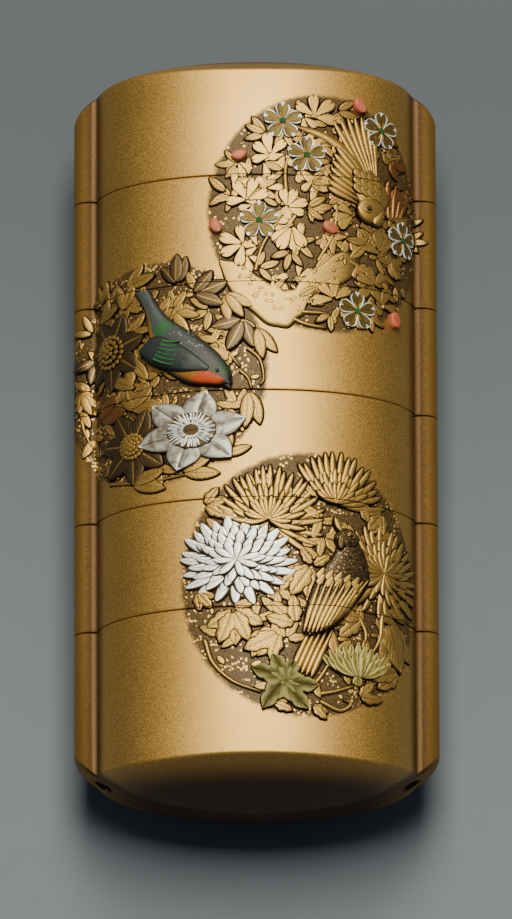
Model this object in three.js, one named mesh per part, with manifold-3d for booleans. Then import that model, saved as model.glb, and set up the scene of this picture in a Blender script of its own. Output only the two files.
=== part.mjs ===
// A five-case inro: a small tiered box of gold lacquer, made to hang from a sash on a cord.
//
// A lid and five cases stack along Y and share one lens-shaped section, with a half-round
// cord runner down each side. Each case has a rebated foot and a raised lip, and each lip
// fits the foot of the piece above. A cord channel runs through every runner. The two ends
// are low domes. Shell, coral and stained inlays stand on the front face.
//
// Millimetres. The box lies on its back, on a narrow flat: X is its width, +Y runs to the
// lid, +Z is the front face, and the origin is on the flat, halfway along.
import * as THREE from 'three';
import { mergeVertices } from 'three/addons/utils/BufferGeometryUtils.js';
import Module from 'manifold-3d';

const wasm = await Module();
wasm.setup();

// ---- driving dimensions -------------------------------------------------------------
const BODY = { halfWidth: 20.4, halfDepth: 12.2, power: 2.15 };
const RUNNER = { centre: 20.9, inner: 1.6, outer: 2.1, halfDepth: 2.35, power: 2.6 };
const RESTING_FLAT = 0.2; // how deep the narrow flat along the back is cut
const AXIS_Z = BODY.halfDepth - RESTING_FLAT;

const LID_HEIGHT = 14.4;
const CASE_HEIGHTS = [14.5, 14.5, 14.5, 14.5, 19.5]; // from the lid down
const SEAM = 0.12; // the line between two closed pieces
const FACE_HEIGHT = CASE_HEIGHTS.reduce((sum, h) => sum + h, LID_HEIGHT);

const DOME = { rise: 4.0, depthRadius: 20.6, fall: 9.57, halfWidth: 23.5, power: 2.2 };
const DOME_WALL = 1.8;

const LIP = { height: 3.3, halfWidth: 17.1, halfDepth: 10.75 };
const FOOT = { depth: 3.6, halfWidth: 17.35, halfDepth: 11.0 };
const CAVITY = { halfWidth: 16.2, halfDepth: 9.85 };
const FLOOR = 1.2;
const CORD_CHANNEL = { x: 19.25, radius: 1.15 };

const FACE_STEPS = 24; // sides of one broad face
const RUNNER_STEPS = 9; // sides of one runner
const INNER_STEPS = 32; // sides of a lip, foot or cavity

const INLAY_LIFT = 0.1; // clearance under an inlay
const BLOSSOM = {
  radius: 2.6, petals: 5, notch: 0.45, roundness: 0.7, turn: 90, middle: 0.45, rim: 0.55,
};
const CORAL_BUD = { long: 1.0, short: 0.7, middle: 0.95, rim: 0.4 };
const CLEMATIS = {
  radius: 5.2, petals: 6, notch: 0.45, roundness: 1.1, wide: 1.3, turn: 15, middle: 1.25, rim: 0.7,
};
const CHRYSANTHEMUM = {
  radius: 6, petals: 22, notch: 0.12, roundness: 1, wide: 1.25, middle: 1.3, rim: 0.6,
};
const LEAF = { base: 2.1, sharpness: 14, middle: 0.9, rim: 0.6 };
const HALF_FLOWER = {
  base: 1.5, sharpness: 30, petals: 7, from: 15, to: 155, halfWidth: 5.5, height: 2.8, foot: 2.5,
  middle: 0.95, rim: 0.6,
};

// ---- colours and finishes -----------------------------------------------------------
const finish = (color, roughness, metalness) =>
  new THREE.MeshStandardMaterial({ color, roughness, metalness });
const GOLD = finish(0xb08d4b, 0.42, 0.9);
const SHELL = finish(0xe6e9e6, 0.25, 0.0);
const CORAL = finish(0xd9705a, 0.4, 0.0);
const STAINED_BLUE = finish(0x46525c, 0.35, 0.0);
const STAINED_GREEN = finish(0x93995f, 0.35, 0.0);

// ---- the section --------------------------------------------------------------------
// Height of a superellipse above its axis, at x from its centre.
const superHeight = (x, halfWidth, halfDepth, power) =>
  halfDepth * Math.max(0, 1 - Math.abs(x / halfWidth) ** power) ** (1 / power);

const faceHeight = (x) => superHeight(x, BODY.halfWidth, BODY.halfDepth, BODY.power);

const runnerHeight = (x) => {
  const across = x - RUNNER.centre;
  const half = across < 0 ? RUNNER.inner : RUNNER.outer;
  return superHeight(across, half, RUNNER.halfDepth, RUNNER.power);
};

// Where the face comes down to meet the runner, found by halving.
const GROOVE_X = (() => {
  let low = RUNNER.centre - RUNNER.inner;
  let high = BODY.halfWidth;
  for (let i = 0; i < 40; i += 1) {
    const middle = (low + high) / 2;
    if (faceHeight(middle) > runnerHeight(middle)) low = middle;
    else high = middle;
  }
  return low;
})();

// Points from the middle of the face out to the side, one quarter of the section.
function quarterSection(faceSteps, runnerSteps) {
  const power = 2 / BODY.power;
  const stop = Math.asin((GROOVE_X / BODY.halfWidth) ** (1 / power));
  const points = [];
  for (let i = 0; i <= faceSteps; i += 1) {
    const x = BODY.halfWidth * Math.sin((stop * i) / faceSteps) ** power;
    points.push([x, faceHeight(x)]);
  }
  const reach = RUNNER.centre + RUNNER.outer - GROOVE_X;
  for (let i = 1; i <= runnerSteps; i += 1) {
    const x = GROOVE_X + reach * Math.sin((Math.PI * i) / (2 * runnerSteps));
    points.push([x, i === runnerSteps ? 0 : runnerHeight(x)]);
  }
  return points;
}

// The whole section, anticlockwise, with the narrow flat cut along the back.
function bodyOutline() {
  const quarter = quarterSection(FACE_STEPS / 2, RUNNER_STEPS);
  const front = [...quarter].reverse().map(([x, z]) => [x, z]);
  const left = quarter.slice(1).map(([x, z]) => [-x, z]);
  const half = [...front, ...left];
  const back = half
    .slice(1, -1)
    .reverse()
    .map(([x, z]) => [x, Math.max(-z, -AXIS_Z)]);
  return [...half, ...back];
}

function superOutline({ halfWidth, halfDepth }) {
  return Array.from({ length: INNER_STEPS }, (_, i) => {
    const angle = (2 * Math.PI * i) / INNER_STEPS;
    const shape = (value) => Math.sign(value) * Math.abs(value) ** (2 / BODY.power);
    return [halfWidth * shape(Math.cos(angle)), halfDepth * shape(Math.sin(angle))];
  });
}

// ---- solids -------------------------------------------------------------------------
function solid(geometry) {
  const bare = geometry.index ? geometry.toNonIndexed() : geometry.clone();
  bare.deleteAttribute('normal');
  bare.deleteAttribute('uv');
  const merged = mergeVertices(bare, 1e-4);
  const mesh = new wasm.Mesh({
    numProp: 3,
    vertProperties: merged.attributes.position.array,
    triVerts: new Uint32Array(merged.index.array),
  });
  return new wasm.Manifold(mesh);
}

function geometryOf(manifold) {
  const mesh = manifold.getMesh();
  const geometry = new THREE.BufferGeometry();
  geometry.setAttribute('position', new THREE.BufferAttribute(mesh.vertProperties, 3));
  geometry.setIndex(new THREE.BufferAttribute(mesh.triVerts, 1));
  geometry.computeVertexNormals();
  return geometry;
}

// An outline of the section carried along Y, from low to high.
function prism(outline, low, high) {
  const shape = new THREE.Shape(outline.map(([x, z]) => new THREE.Vector2(x, z)));
  const geometry = new THREE.ExtrudeGeometry(shape, { depth: high - low, bevelEnabled: false });
  geometry.rotateX(Math.PI / 2).translate(0, high, AXIS_Z);
  return solid(geometry);
}

// How far the end dome stands above the rim, over the section point x, z.
function domeHeight(x, z) {
  const { rise, depthRadius, fall, halfWidth, power } = DOME;
  const alongWidth = fall - superHeight(x, halfWidth, fall, power);
  const alongDepth = depthRadius - Math.sqrt(depthRadius ** 2 - z ** 2);
  return rise - alongWidth - alongDepth;
}

// A closed body under the dome: everything on the box's side of the domed end.
// end is +1 for the lid's end and -1 for the bottom, rim is the Y of the dome's edge.
function underDome(end, rim) {
  const rings = [0.25, 0.5, 0.72, 0.88, 1]; // shares of the way out from the middle
  const sides = 36;
  const reach = { x: DOME.halfWidth - 0.1, z: BODY.halfDepth + 0.8 };
  const depth = 60; // past the other end of any piece
  const positions = [0, rim + end * domeHeight(0, 0), 0];
  rings.forEach((t) => {
    for (let i = 0; i < sides; i += 1) {
      const angle = (2 * Math.PI * i) / sides;
      const x = reach.x * t * Math.cos(angle);
      const z = reach.z * t * Math.sin(angle);
      positions.push(x, rim + end * domeHeight(x, z), z);
    }
  });
  for (let i = 0; i < sides; i += 1) {
    const angle = (2 * Math.PI * i) / sides;
    positions.push(reach.x * Math.cos(angle), rim - end * depth, reach.z * Math.sin(angle));
  }
  positions.push(0, rim - end * depth, 0);

  const faces = [];
  const add = (a, b, c) => faces.push(...(end > 0 ? [a, c, b] : [a, b, c]));
  const at = (ring, i) => 1 + ring * sides + (i % sides);
  const last = 1 + (rings.length + 1) * sides;
  for (let i = 0; i < sides; i += 1) {
    add(0, at(0, i), at(0, i + 1));
    for (let ring = 0; ring < rings.length; ring += 1) {
      add(at(ring, i), at(ring + 1, i), at(ring + 1, i + 1));
      add(at(ring, i), at(ring + 1, i + 1), at(ring, i + 1));
    }
    add(last, at(rings.length, i + 1), at(rings.length, i));
  }
  const geometry = new THREE.BufferGeometry();
  geometry.setAttribute('position', new THREE.Float32BufferAttribute(positions, 3));
  geometry.setIndex(faces);
  geometry.translate(0, 0, AXIS_Z);
  return solid(geometry);
}

function cordChannels(low, high) {
  const one = new THREE.CylinderGeometry(
    CORD_CHANNEL.radius, CORD_CHANNEL.radius, high - low, 12);
  one.translate(CORD_CHANNEL.x, (low + high) / 2, AXIS_Z);
  const other = one.clone().translate(-2 * CORD_CHANNEL.x, 0, 0);
  return solid(one).add(solid(other));
}

const BODY_OUTLINE = bodyOutline();
const OVERRUN = 8; // how far a cutting solid runs past what it cuts

function lidSolid(low, high) {
  const outer = prism(BODY_OUTLINE, low, high + OVERRUN).intersect(underDome(1, high));
  const foot = prism(superOutline(FOOT), low - OVERRUN, low + FOOT.depth);
  const hollow = prism(superOutline(CAVITY), low, high + OVERRUN)
    .intersect(underDome(1, high - DOME_WALL));
  return outer.subtract(foot).subtract(hollow)
    .subtract(cordChannels(low - OVERRUN, high + OVERRUN));
}

function caseSolid(low, high) {
  const wall = prism(BODY_OUTLINE, low, high);
  const lip = prism(superOutline(LIP), high - FLOOR, high + LIP.height);
  const foot = prism(superOutline(FOOT), low - OVERRUN, low + FOOT.depth);
  const hollow = prism(superOutline(CAVITY), low + FOOT.depth + FLOOR, high + OVERRUN);
  return wall.add(lip).subtract(foot).subtract(hollow)
    .subtract(cordChannels(low - OVERRUN, high + OVERRUN));
}

function bottomSolid(low, high) {
  const outer = prism(BODY_OUTLINE, low - OVERRUN, high).intersect(underDome(-1, low));
  const lip = prism(superOutline(LIP), high - FLOOR, high + LIP.height);
  const hollow = prism(superOutline(CAVITY), low - OVERRUN, high + OVERRUN)
    .intersect(underDome(-1, low + DOME_WALL));
  return outer.add(lip).subtract(hollow)
    .subtract(cordChannels(low - OVERRUN, high + OVERRUN));
}

// ---- inlays -------------------------------------------------------------------------
// The front face unrolled: along is the distance round the section from its middle.
const FACE_LINE = (() => {
  const line = [{ along: 0, x: 0, z: BODY.halfDepth }];
  quarterSection(160, 40).slice(1).forEach(([x, z]) => {
    const before = line[line.length - 1];
    line.push({ along: before.along + Math.hypot(x - before.x, z - before.z), x, z });
  });
  return line;
})();

function onFace(along, y, lift) {
  const side = Math.sign(along) || 1;
  const reach = Math.abs(along);
  const next = FACE_LINE.findIndex((p) => p.along > reach);
  const a = FACE_LINE[next - 1];
  const b = FACE_LINE[next];
  const t = (reach - a.along) / (b.along - a.along);
  const length = Math.hypot(b.x - a.x, b.z - a.z);
  const normal = { x: (a.z - b.z) / length, z: (b.x - a.x) / length };
  return [
    side * (a.x + t * (b.x - a.x) + lift * normal.x),
    y,
    AXIS_Z + a.z + t * (b.z - a.z) + lift * normal.z,
  ];
}

// A plaque that follows the face. edge(angle) is its outline's distance from the centre,
// and crown(share) its height at a share of the way from the centre to that edge.
function plaque({ at, turn = 0, wide = 1, sides, rings, edge, crown }) {
  const [centreAlong, centreY] = at;
  const place = (share, angle, lift) => {
    const r = share * edge(angle);
    const a = angle + (turn * Math.PI) / 180;
    return onFace(centreAlong + wide * r * Math.cos(a), centreY + r * Math.sin(a), lift);
  };
  const positions = [...place(0, 0, crown(0)), ...place(0, 0, INLAY_LIFT)];
  for (let ring = 1; ring <= rings; ring += 1) {
    const share = ring / rings;
    for (let i = 0; i < sides; i += 1) {
      const angle = (2 * Math.PI * i) / sides;
      positions.push(...place(share, angle, crown(share)));
      positions.push(...place(share, angle, INLAY_LIFT));
    }
  }
  const top = (ring, i) => (ring === 0 ? 0 : 2 + 2 * ((ring - 1) * sides + (i % sides)));
  const faces = [];
  for (let i = 0; i < sides; i += 1) {
    for (let ring = 0; ring < rings; ring += 1) {
      const [a, b, c, d] = [top(ring, i), top(ring + 1, i), top(ring + 1, i + 1), top(ring, i + 1)];
      faces.push(a, b, c, a + 1, c + 1, b + 1);
      if (ring > 0) faces.push(a, c, d, a + 1, d + 1, c + 1);
    }
    const [e, f] = [top(rings, i), top(rings, i + 1)];
    faces.push(e, e + 1, f + 1, e, f + 1, f);
  }
  const geometry = new THREE.BufferGeometry();
  geometry.setAttribute('position', new THREE.Float32BufferAttribute(positions, 3));
  geometry.setIndex(faces);
  geometry.computeVertexNormals();
  return geometry;
}

// A flower's outline: round, with a notch between its petals.
const petalled = ({ radius, petals, notch, roundness }) => (angle) =>
  radius * (1 - notch + notch * Math.abs(Math.cos((petals * angle) / 2)) ** roundness);

// An outline with a lobe for each [direction in degrees, reach] over a round base.
const lobed = ({ base, sharpness }, lobes) => (angle) =>
  Math.max(base, ...lobes.map(([direction, reach]) => {
    const facing = Math.cos(angle - (direction * Math.PI) / 180);
    return base + (reach - base) * Math.max(0, facing) ** sharpness;
  }));

const crowned = ({ middle, rim }) => (share) => rim + (middle - rim) * (1 - share ** 2);

const flower = (sizes, at, turn, sides) => plaque({
  at, turn, wide: sizes.wide, sides, rings: 2, edge: petalled(sizes), crown: crowned(sizes),
});

const coralBud = (at, turn) => plaque({
  at,
  turn,
  sides: 10,
  rings: 2,
  edge: (angle) => CORAL_BUD.short + (CORAL_BUD.long - CORAL_BUD.short) * Math.cos(angle) ** 2,
  crown: crowned(CORAL_BUD),
});

// A half-open flower: petals fanned out to an ellipse, and a short foot where its stem meets it.
const halfFlowerLobes = ({ petals, from, to, halfWidth, height, foot }) => {
  const fan = Array.from({ length: petals }, (_, i) => {
    const direction = from + ((to - from) * i) / (petals - 1);
    const angle = (direction * Math.PI) / 180;
    return [direction, 1 / Math.hypot(Math.cos(angle) / halfWidth, Math.sin(angle) / height)];
  });
  return [...fan, [-105, foot]];
};

const lobedPlaque = (sizes, at, lobes) => plaque({
  at, sides: 48, rings: 2, edge: lobed(sizes, lobes), crown: crowned(sizes),
});

// A small bird, head down: its spine from the tail's tip to the bill, with a half-width
// and a height at each station.
const KINGFISHER = [
  { at: [-14.5, 16.5], half: 1, height: 0.6 },
  { at: [-12.5, 12.5], half: 1.3, height: 0.9 },
  { at: [-10.5, 9], half: 3, height: 1.5 },
  { at: [-6.5, 5.5], half: 2.5, height: 1.5 },
  { at: [-3.5, 3], half: 0.4, height: 0.5 },
];

// The bird as one rounded body, lofted along its spine.
function kingfisher() {
  const steps = 14;
  const across = 6;
  const rim = 0.2;
  const along = (pick) =>
    new THREE.SplineCurve(KINGFISHER.map((s) => new THREE.Vector2(...pick(s)))).getPoints(steps);
  const spine = along((s) => s.at);
  const size = along((s) => [s.half, s.height]);
  const positions = [];
  spine.forEach((centre, i) => {
    const ahead = spine[Math.min(i + 1, steps)].clone().sub(spine[Math.max(i - 1, 0)]).normalize();
    for (let j = 0; j <= across; j += 1) {
      const s = (2 * j) / across - 1;
      const x = centre.x - ahead.y * s * size[i].x;
      const y = centre.y + ahead.x * s * size[i].x;
      const crown = INLAY_LIFT + rim + size[i].y * Math.sqrt(1 - s * s);
      positions.push(...onFace(x, y, crown), ...onFace(x, y, INLAY_LIFT));
    }
  });
  const at = (i, j) => 2 * (i * (across + 1) + j);
  const faces = [];
  const quad = (a, b, c, d) => faces.push(a, b, c, a, c, d);
  for (let i = 0; i < steps; i += 1) {
    for (let j = 0; j < across; j += 1) {
      const [a, b, c, d] = [at(i, j), at(i + 1, j), at(i + 1, j + 1), at(i, j + 1)];
      quad(a, b, c, d);
      quad(a + 1, d + 1, c + 1, b + 1);
    }
    quad(at(i, 0), at(i, 0) + 1, at(i + 1, 0) + 1, at(i + 1, 0));
    quad(at(i + 1, across), at(i + 1, across) + 1, at(i, across) + 1, at(i, across));
  }
  for (let j = 0; j < across; j += 1) {
    quad(at(0, j + 1), at(0, j + 1) + 1, at(0, j) + 1, at(0, j));
    quad(at(steps, j), at(steps, j) + 1, at(steps, j + 1) + 1, at(steps, j + 1));
  }
  const geometry = new THREE.BufferGeometry();
  geometry.setAttribute('position', new THREE.Float32BufferAttribute(positions, 3));
  geometry.setIndex(faces);
  geometry.computeVertexNormals();
  return geometry;
}

// ---- the object ---------------------------------------------------------------------
const inro = new THREE.Group();

function place(name, geometry, material) {
  const mesh = new THREE.Mesh(geometry, material);
  mesh.name = name;
  inro.add(mesh);
}

const TOP_RIM = FACE_HEIGHT / 2;
let seam = TOP_RIM - LID_HEIGHT;
place('lid', geometryOf(lidSolid(seam, TOP_RIM)), GOLD);

CASE_HEIGHTS.forEach((height, i) => {
  const high = seam - SEAM;
  const low = seam - height;
  const make = i === CASE_HEIGHTS.length - 1 ? bottomSolid : caseSolid;
  place(`case_${i + 1}`, geometryOf(make(low, high)), GOLD);
  seam = low;
});

// Each inlay's place is its distance round the front from the middle line, and its Y.
const BLOSSOMS = [[3.5, 38.5], [6.5, 34], [0.5, 25], [16.5, 38.5], [20, 24.5], [13, 13.5]];
BLOSSOMS.forEach((at, i) => {
  place(`blossom_${i + 1}`, flower(BLOSSOM, at, BLOSSOM.turn, 25), SHELL);
});

const CORAL_BUDS = [
  { at: [-2, 34], turn: 15 }, { at: [-5, 24.5], turn: -60 }, { at: [9.5, 24.5], turn: -30 },
  { at: [13.5, 41.5], turn: -60 }, { at: [18.5, 13.5], turn: -75 },
];
CORAL_BUDS.forEach(({ at, turn }, i) => place(`coral_bud_${i + 1}`, coralBud(at, turn), CORAL));

// The lobes of the leaf: direction in degrees, reach.
const LEAF_LOBES = [[150, 4.5], [105, 4], [60, 3], [-15, 4], [-60, 4.5], [-135, 4.5]];

place('kingfisher', kingfisher(), STAINED_BLUE);
place('clematis', flower(CLEMATIS, [-8, -3], CLEMATIS.turn, 48), SHELL);
place('chrysanthemum', flower(CHRYSANTHEMUM, [-2.5, -20.5], 0, 66), SHELL);
place('green_leaf', lobedPlaque(LEAF, [3.5, -36.5], LEAF_LOBES), STAINED_GREEN);
place(
  'green_chrysanthemum',
  lobedPlaque(HALF_FLOWER, [13, -33.5], halfFlowerLobes(HALF_FLOWER)),
  STAINED_GREEN,
);

export default inro;
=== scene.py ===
# Visual model of a five-case inro in gold lacquer, with roundels of birds and flowers.
#
# Lengths are millimetres in the frame of the solids: X across the box, +Y to the lid, +Z out of the
# front face. MeshParts.build turns them into metres. A place on the decorated skin is (u, y): u is
# the distance round the section from the middle of the front, y the height along the box.
import logging
import math
from dataclasses import dataclass, field
from enum import Enum

import bmesh
import bpy
import numpy as np
from mathutils import Matrix, Vector


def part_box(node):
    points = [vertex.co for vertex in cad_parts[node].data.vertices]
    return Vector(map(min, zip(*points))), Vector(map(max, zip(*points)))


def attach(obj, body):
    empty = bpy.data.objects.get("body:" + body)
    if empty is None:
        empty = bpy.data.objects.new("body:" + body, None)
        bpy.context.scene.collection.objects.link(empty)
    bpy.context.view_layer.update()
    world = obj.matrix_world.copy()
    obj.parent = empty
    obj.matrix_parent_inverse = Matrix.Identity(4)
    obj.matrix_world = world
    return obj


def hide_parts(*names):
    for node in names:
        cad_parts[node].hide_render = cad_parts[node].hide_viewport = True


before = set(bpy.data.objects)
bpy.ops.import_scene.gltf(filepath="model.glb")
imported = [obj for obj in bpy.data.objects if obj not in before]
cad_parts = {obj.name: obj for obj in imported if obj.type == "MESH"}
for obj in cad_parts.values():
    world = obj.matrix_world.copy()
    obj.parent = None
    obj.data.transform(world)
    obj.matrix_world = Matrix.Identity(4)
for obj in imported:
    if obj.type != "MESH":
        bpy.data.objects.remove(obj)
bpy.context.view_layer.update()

MM = 0.001
UV_MM = 0.01  # one UV unit is 100 mm
CREASE = math.radians(62)  # edges sharper than this stay sharp
GOLDEN_ANGLE = 2.39996  # radians between neighbours of an even spiral
FOOT = 0.03  # how far a patch's foot stands out of the skin
Colour = tuple[float, float, float]
Tone = tuple[float, float, float]  # pewter, warm and pattern masks
Line = list[tuple[float, float]]
Socket = bpy.types.NodeSocket
Material = bpy.types.Material
LOG = logging.getLogger("inro")


# ---- the section and the skin ----
@dataclass
class Section:
    """The lens-shaped section with a half-round cord runner down each side."""

    half_width: float = 20.4
    half_depth: float = 12.2
    power: float = 2.15
    runner_centre: float = 20.9
    runner_inner: float = 1.6
    runner_outer: float = 2.1
    runner_half_depth: float = 2.35
    runner_power: float = 2.6
    axis_z: float = 12.0

    def __post_init__(self) -> None:
        """Works out the half loop from the middle of the front to the middle of the back."""
        self.groove_x = self._groove()
        bend = 2 / self.power
        stop = math.asin((self.groove_x / self.half_width) ** (1 / bend))
        turn = np.linspace(0, stop, 700)
        x = self.half_width * np.sin(turn) ** bend
        z = self.half_depth * np.cos(turn) ** bend
        reach = self.runner_centre + self.runner_outer - self.groove_x
        runner_x = self.groove_x + reach * np.sin(np.linspace(0, math.pi / 2, 260))[1:]
        runner_z = self.runner_height(runner_x)
        runner_z[-1] = 0.0
        x = np.concatenate([x, runner_x])
        z = np.concatenate([z, runner_z])
        along = np.concatenate([[0], np.cumsum(np.hypot(np.diff(x), np.diff(z)))])
        self.groove_u = float(np.interp(self.groove_x, x[:700], along[:700]))
        self.side_u = float(along[-1])
        self.along = np.concatenate([along, 2 * self.side_u - along[-2::-1]])
        self.x = np.concatenate([x, x[-2::-1]])
        self.z = np.concatenate([z, -z[-2::-1]])
        across, down = np.gradient(self.x, self.along), np.gradient(self.z, self.along)
        self.normal_x, self.normal_z = -down, across
        resting = self.z < -self.axis_z
        self.z[resting] = -self.axis_z
        self.normal_x[resting], self.normal_z[resting] = 0.0, -1.0
        self.back_u = 2 * self.side_u

    def face_height(self, x: np.ndarray) -> np.ndarray:
        """Superellipse: depth * (1 - |x / half width| ^ power) ^ (1 / power)."""
        inside = np.maximum(0, 1 - np.abs(x / self.half_width) ** self.power)
        return self.half_depth * inside ** (1 / self.power)

    def runner_height(self, x: np.ndarray) -> np.ndarray:
        """The same curve about the runner's centre, with its own half widths."""
        away = np.asarray(x) - self.runner_centre
        half = np.where(away < 0, self.runner_inner, self.runner_outer)
        inside = np.maximum(0, 1 - np.abs(away / half) ** self.runner_power)
        return self.runner_half_depth * inside ** (1 / self.runner_power)

    def _groove(self) -> float:
        """Where the broad face comes down to the runner, found by halving."""
        low, high = self.runner_centre - self.runner_inner, self.half_width
        for _ in range(50):
            middle = (low + high) / 2
            if self.face_height(middle) > self.runner_height(middle):
                low = middle
            else:
                high = middle
        return low

    def place(self, u: np.ndarray, y: np.ndarray, lift: np.ndarray) -> np.ndarray:
        """Puts places on the unrolled skin into space.

        Args:
            u: Distance round the section from the middle of the front.
            y: Height along the box.
            lift: Distance out of the skin, along its normal.

        Returns:
            Points with a last axis of x, y, z.
        """
        u, y, lift = np.broadcast_arrays(u, y, lift)
        reach = np.abs(u)
        side = np.where(u < 0, -1.0, 1.0)
        x, z, out_x, out_z = (np.interp(reach, self.along, values)
                              for values in (self.x, self.z, self.normal_x, self.normal_z))
        return np.stack([side * (x + lift * out_x), y, z + lift * out_z + self.axis_z], axis=-1)

    def stations(self, face_steps: int = 60, runner_steps: int = 22) -> np.ndarray:
        """Distances u of one ring of points, closer on the runners and at the grooves."""
        crease = 0.07
        face = np.linspace(0, self.groove_u - crease, face_steps)
        runner = np.linspace(self.groove_u + crease, self.side_u, runner_steps)
        quarter = np.concatenate([face, [self.groove_u], runner])
        half = np.concatenate([quarter, self.back_u - quarter[-2::-1]])
        return np.concatenate([half, -half[-2:0:-1]])


SECTION = Section()


# ---- meshes ----
@dataclass
class MeshParts:
    """Gathers arrays of points and faces, and makes them one mesh object."""

    points: list[np.ndarray] = field(default_factory=list)
    faces: list[np.ndarray] = field(default_factory=list)
    flat: list[np.ndarray] = field(default_factory=list)
    tint: list[np.ndarray] = field(default_factory=list)
    count: int = 0

    def add(self, points: np.ndarray, faces: list[np.ndarray], flat: np.ndarray,
            tint: np.ndarray | None = None) -> None:
        """Adds one closed shape.

        Args:
            points: N by 3 places in mm.
            faces: Arrays of corner numbers, one array for each number of corners.
            flat: N by 2 pattern coordinates, which become the UV map.
            tint: N by 4 masks for the material: outline (a dark foot with painted shadow), pewter,
                warm and pattern.
        """
        self.points.append(points)
        self.faces += [block + self.count for block in faces if len(block)]
        self.flat.append(flat)
        self.tint.append(np.zeros((len(points), 4)) if tint is None else tint)
        self.count += len(points)

    def build(self, name: str, wrap: float = 0.0) -> bpy.types.Object:
        """Makes the mesh object, in metres, at the origin.

        Args:
            name: The piece's name.
            wrap: Length of one turn of the first pattern coordinate, or 0 where it doesn't close.

        Returns:
            The new object, smooth shaded, with the UV map "flat" and the attribute "tint".
        """
        mesh = bpy.data.meshes.new(name)
        points = np.concatenate(self.points) * MM
        corners = np.concatenate([block.ravel() for block in self.faces])
        sides = np.concatenate([np.full(len(block), block.shape[1]) for block in self.faces])
        starts = np.concatenate([[0], np.cumsum(sides)[:-1]])
        mesh.vertices.add(len(points))
        mesh.vertices.foreach_set("co", points.astype(np.float32).ravel())
        mesh.loops.add(len(corners))
        mesh.loops.foreach_set("vertex_index", corners.astype(np.int32))
        mesh.polygons.add(len(sides))
        mesh.polygons.foreach_set("loop_start", starts.astype(np.int32))
        pattern = np.concatenate(self.flat)
        flat = np.concatenate([self._unwrapped(pattern[block], wrap).reshape(-1, 2)
                               for block in self.faces])
        layer = mesh.uv_layers.new(name="flat")
        layer.data.foreach_set("uv", flat.astype(np.float32).ravel())
        tint = mesh.attributes.new("tint", "FLOAT_COLOR", "POINT")
        tint.data.foreach_set("color", np.concatenate(self.tint).astype(np.float32).ravel())
        mesh.polygons.foreach_set("use_smooth", np.ones(len(sides), dtype=bool))
        mesh.update(calc_edges=True)
        mesh.set_sharp_from_angle(angle=CREASE)
        piece = bpy.data.objects.new(name, mesh)
        bpy.context.scene.collection.objects.link(piece)
        return piece

    @staticmethod
    def _unwrapped(flat: np.ndarray, wrap: float) -> np.ndarray:
        """Adds a turn to a face's far corners where the face spans the wrap."""
        if wrap:
            u = flat[..., 0]
            spans = u.max(axis=1, keepdims=True) - u.min(axis=1, keepdims=True) > wrap / 2
            flat = flat.copy()
            flat[..., 0] = np.where(spans & (u < 0), u + wrap, u)
        return flat


def finished(piece: bpy.types.Object, material: Material, slot: str, *nodes: str) -> None:
    """Dresses a piece, rides it on the box, and hides the solids that it stands for.

    Args:
        piece: The new object.
        material: Its finish.
        slot: The record's material slot; not used.
        nodes: The solids that it replaces.
    """
    piece.data.materials.append(material)
    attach(piece, "root")
    if nodes:
        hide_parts(*nodes)
    LOG.info("%s: %d faces", piece.name, len(piece.data.polygons))


def cut_flat(piece: bpy.types.Object, low: float, high: float) -> None:
    """Cuts a piece of closed shapes flat at two heights, and fills every cut.

    Undersides are triangles first, because a plane may cross a notched one four times. A fill faces
    the way that its neighbours' edges run.

    Args:
        piece: The piece.
        low: The lower height in mm.
        high: The upper one.
    """
    shape = bmesh.new()
    shape.from_mesh(piece.data)
    bmesh.ops.triangulate(shape, faces=[face for face in shape.faces if len(face.verts) > 4])
    for y, way in ((low, -1), (high, 1)):
        made = bmesh.ops.bisect_plane(
            shape, geom=[*shape.verts, *shape.edges, *shape.faces], dist=1e-8,
            plane_co=(0, y * MM, 0), plane_no=(0, way, 0), clear_outer=True)
        rim = [item for item in made["geom_cut"] if isinstance(item, bmesh.types.BMEdge)]
        for face in bmesh.ops.holes_fill(shape, edges=rim, sides=0)["faces"]:
            if 2 * sum(edge.is_contiguous for edge in face.edges) < len(face.edges):
                face.normal_flip()
    shape.to_mesh(piece.data)
    shape.free()
    piece.data.set_sharp_from_angle(angle=CREASE)


# ---- raised patches ----
class Shape(Enum):
    """The outlines that a petal or leaf may have."""

    NOTCHED = "notched"
    POINTED = "pointed"
    ROUNDED = "rounded"
    OVAL = "oval"
    STEM = "stem"
    FINGER = "finger"
    LOBED = "lobed"
    WAISTED = "waisted"


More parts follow.
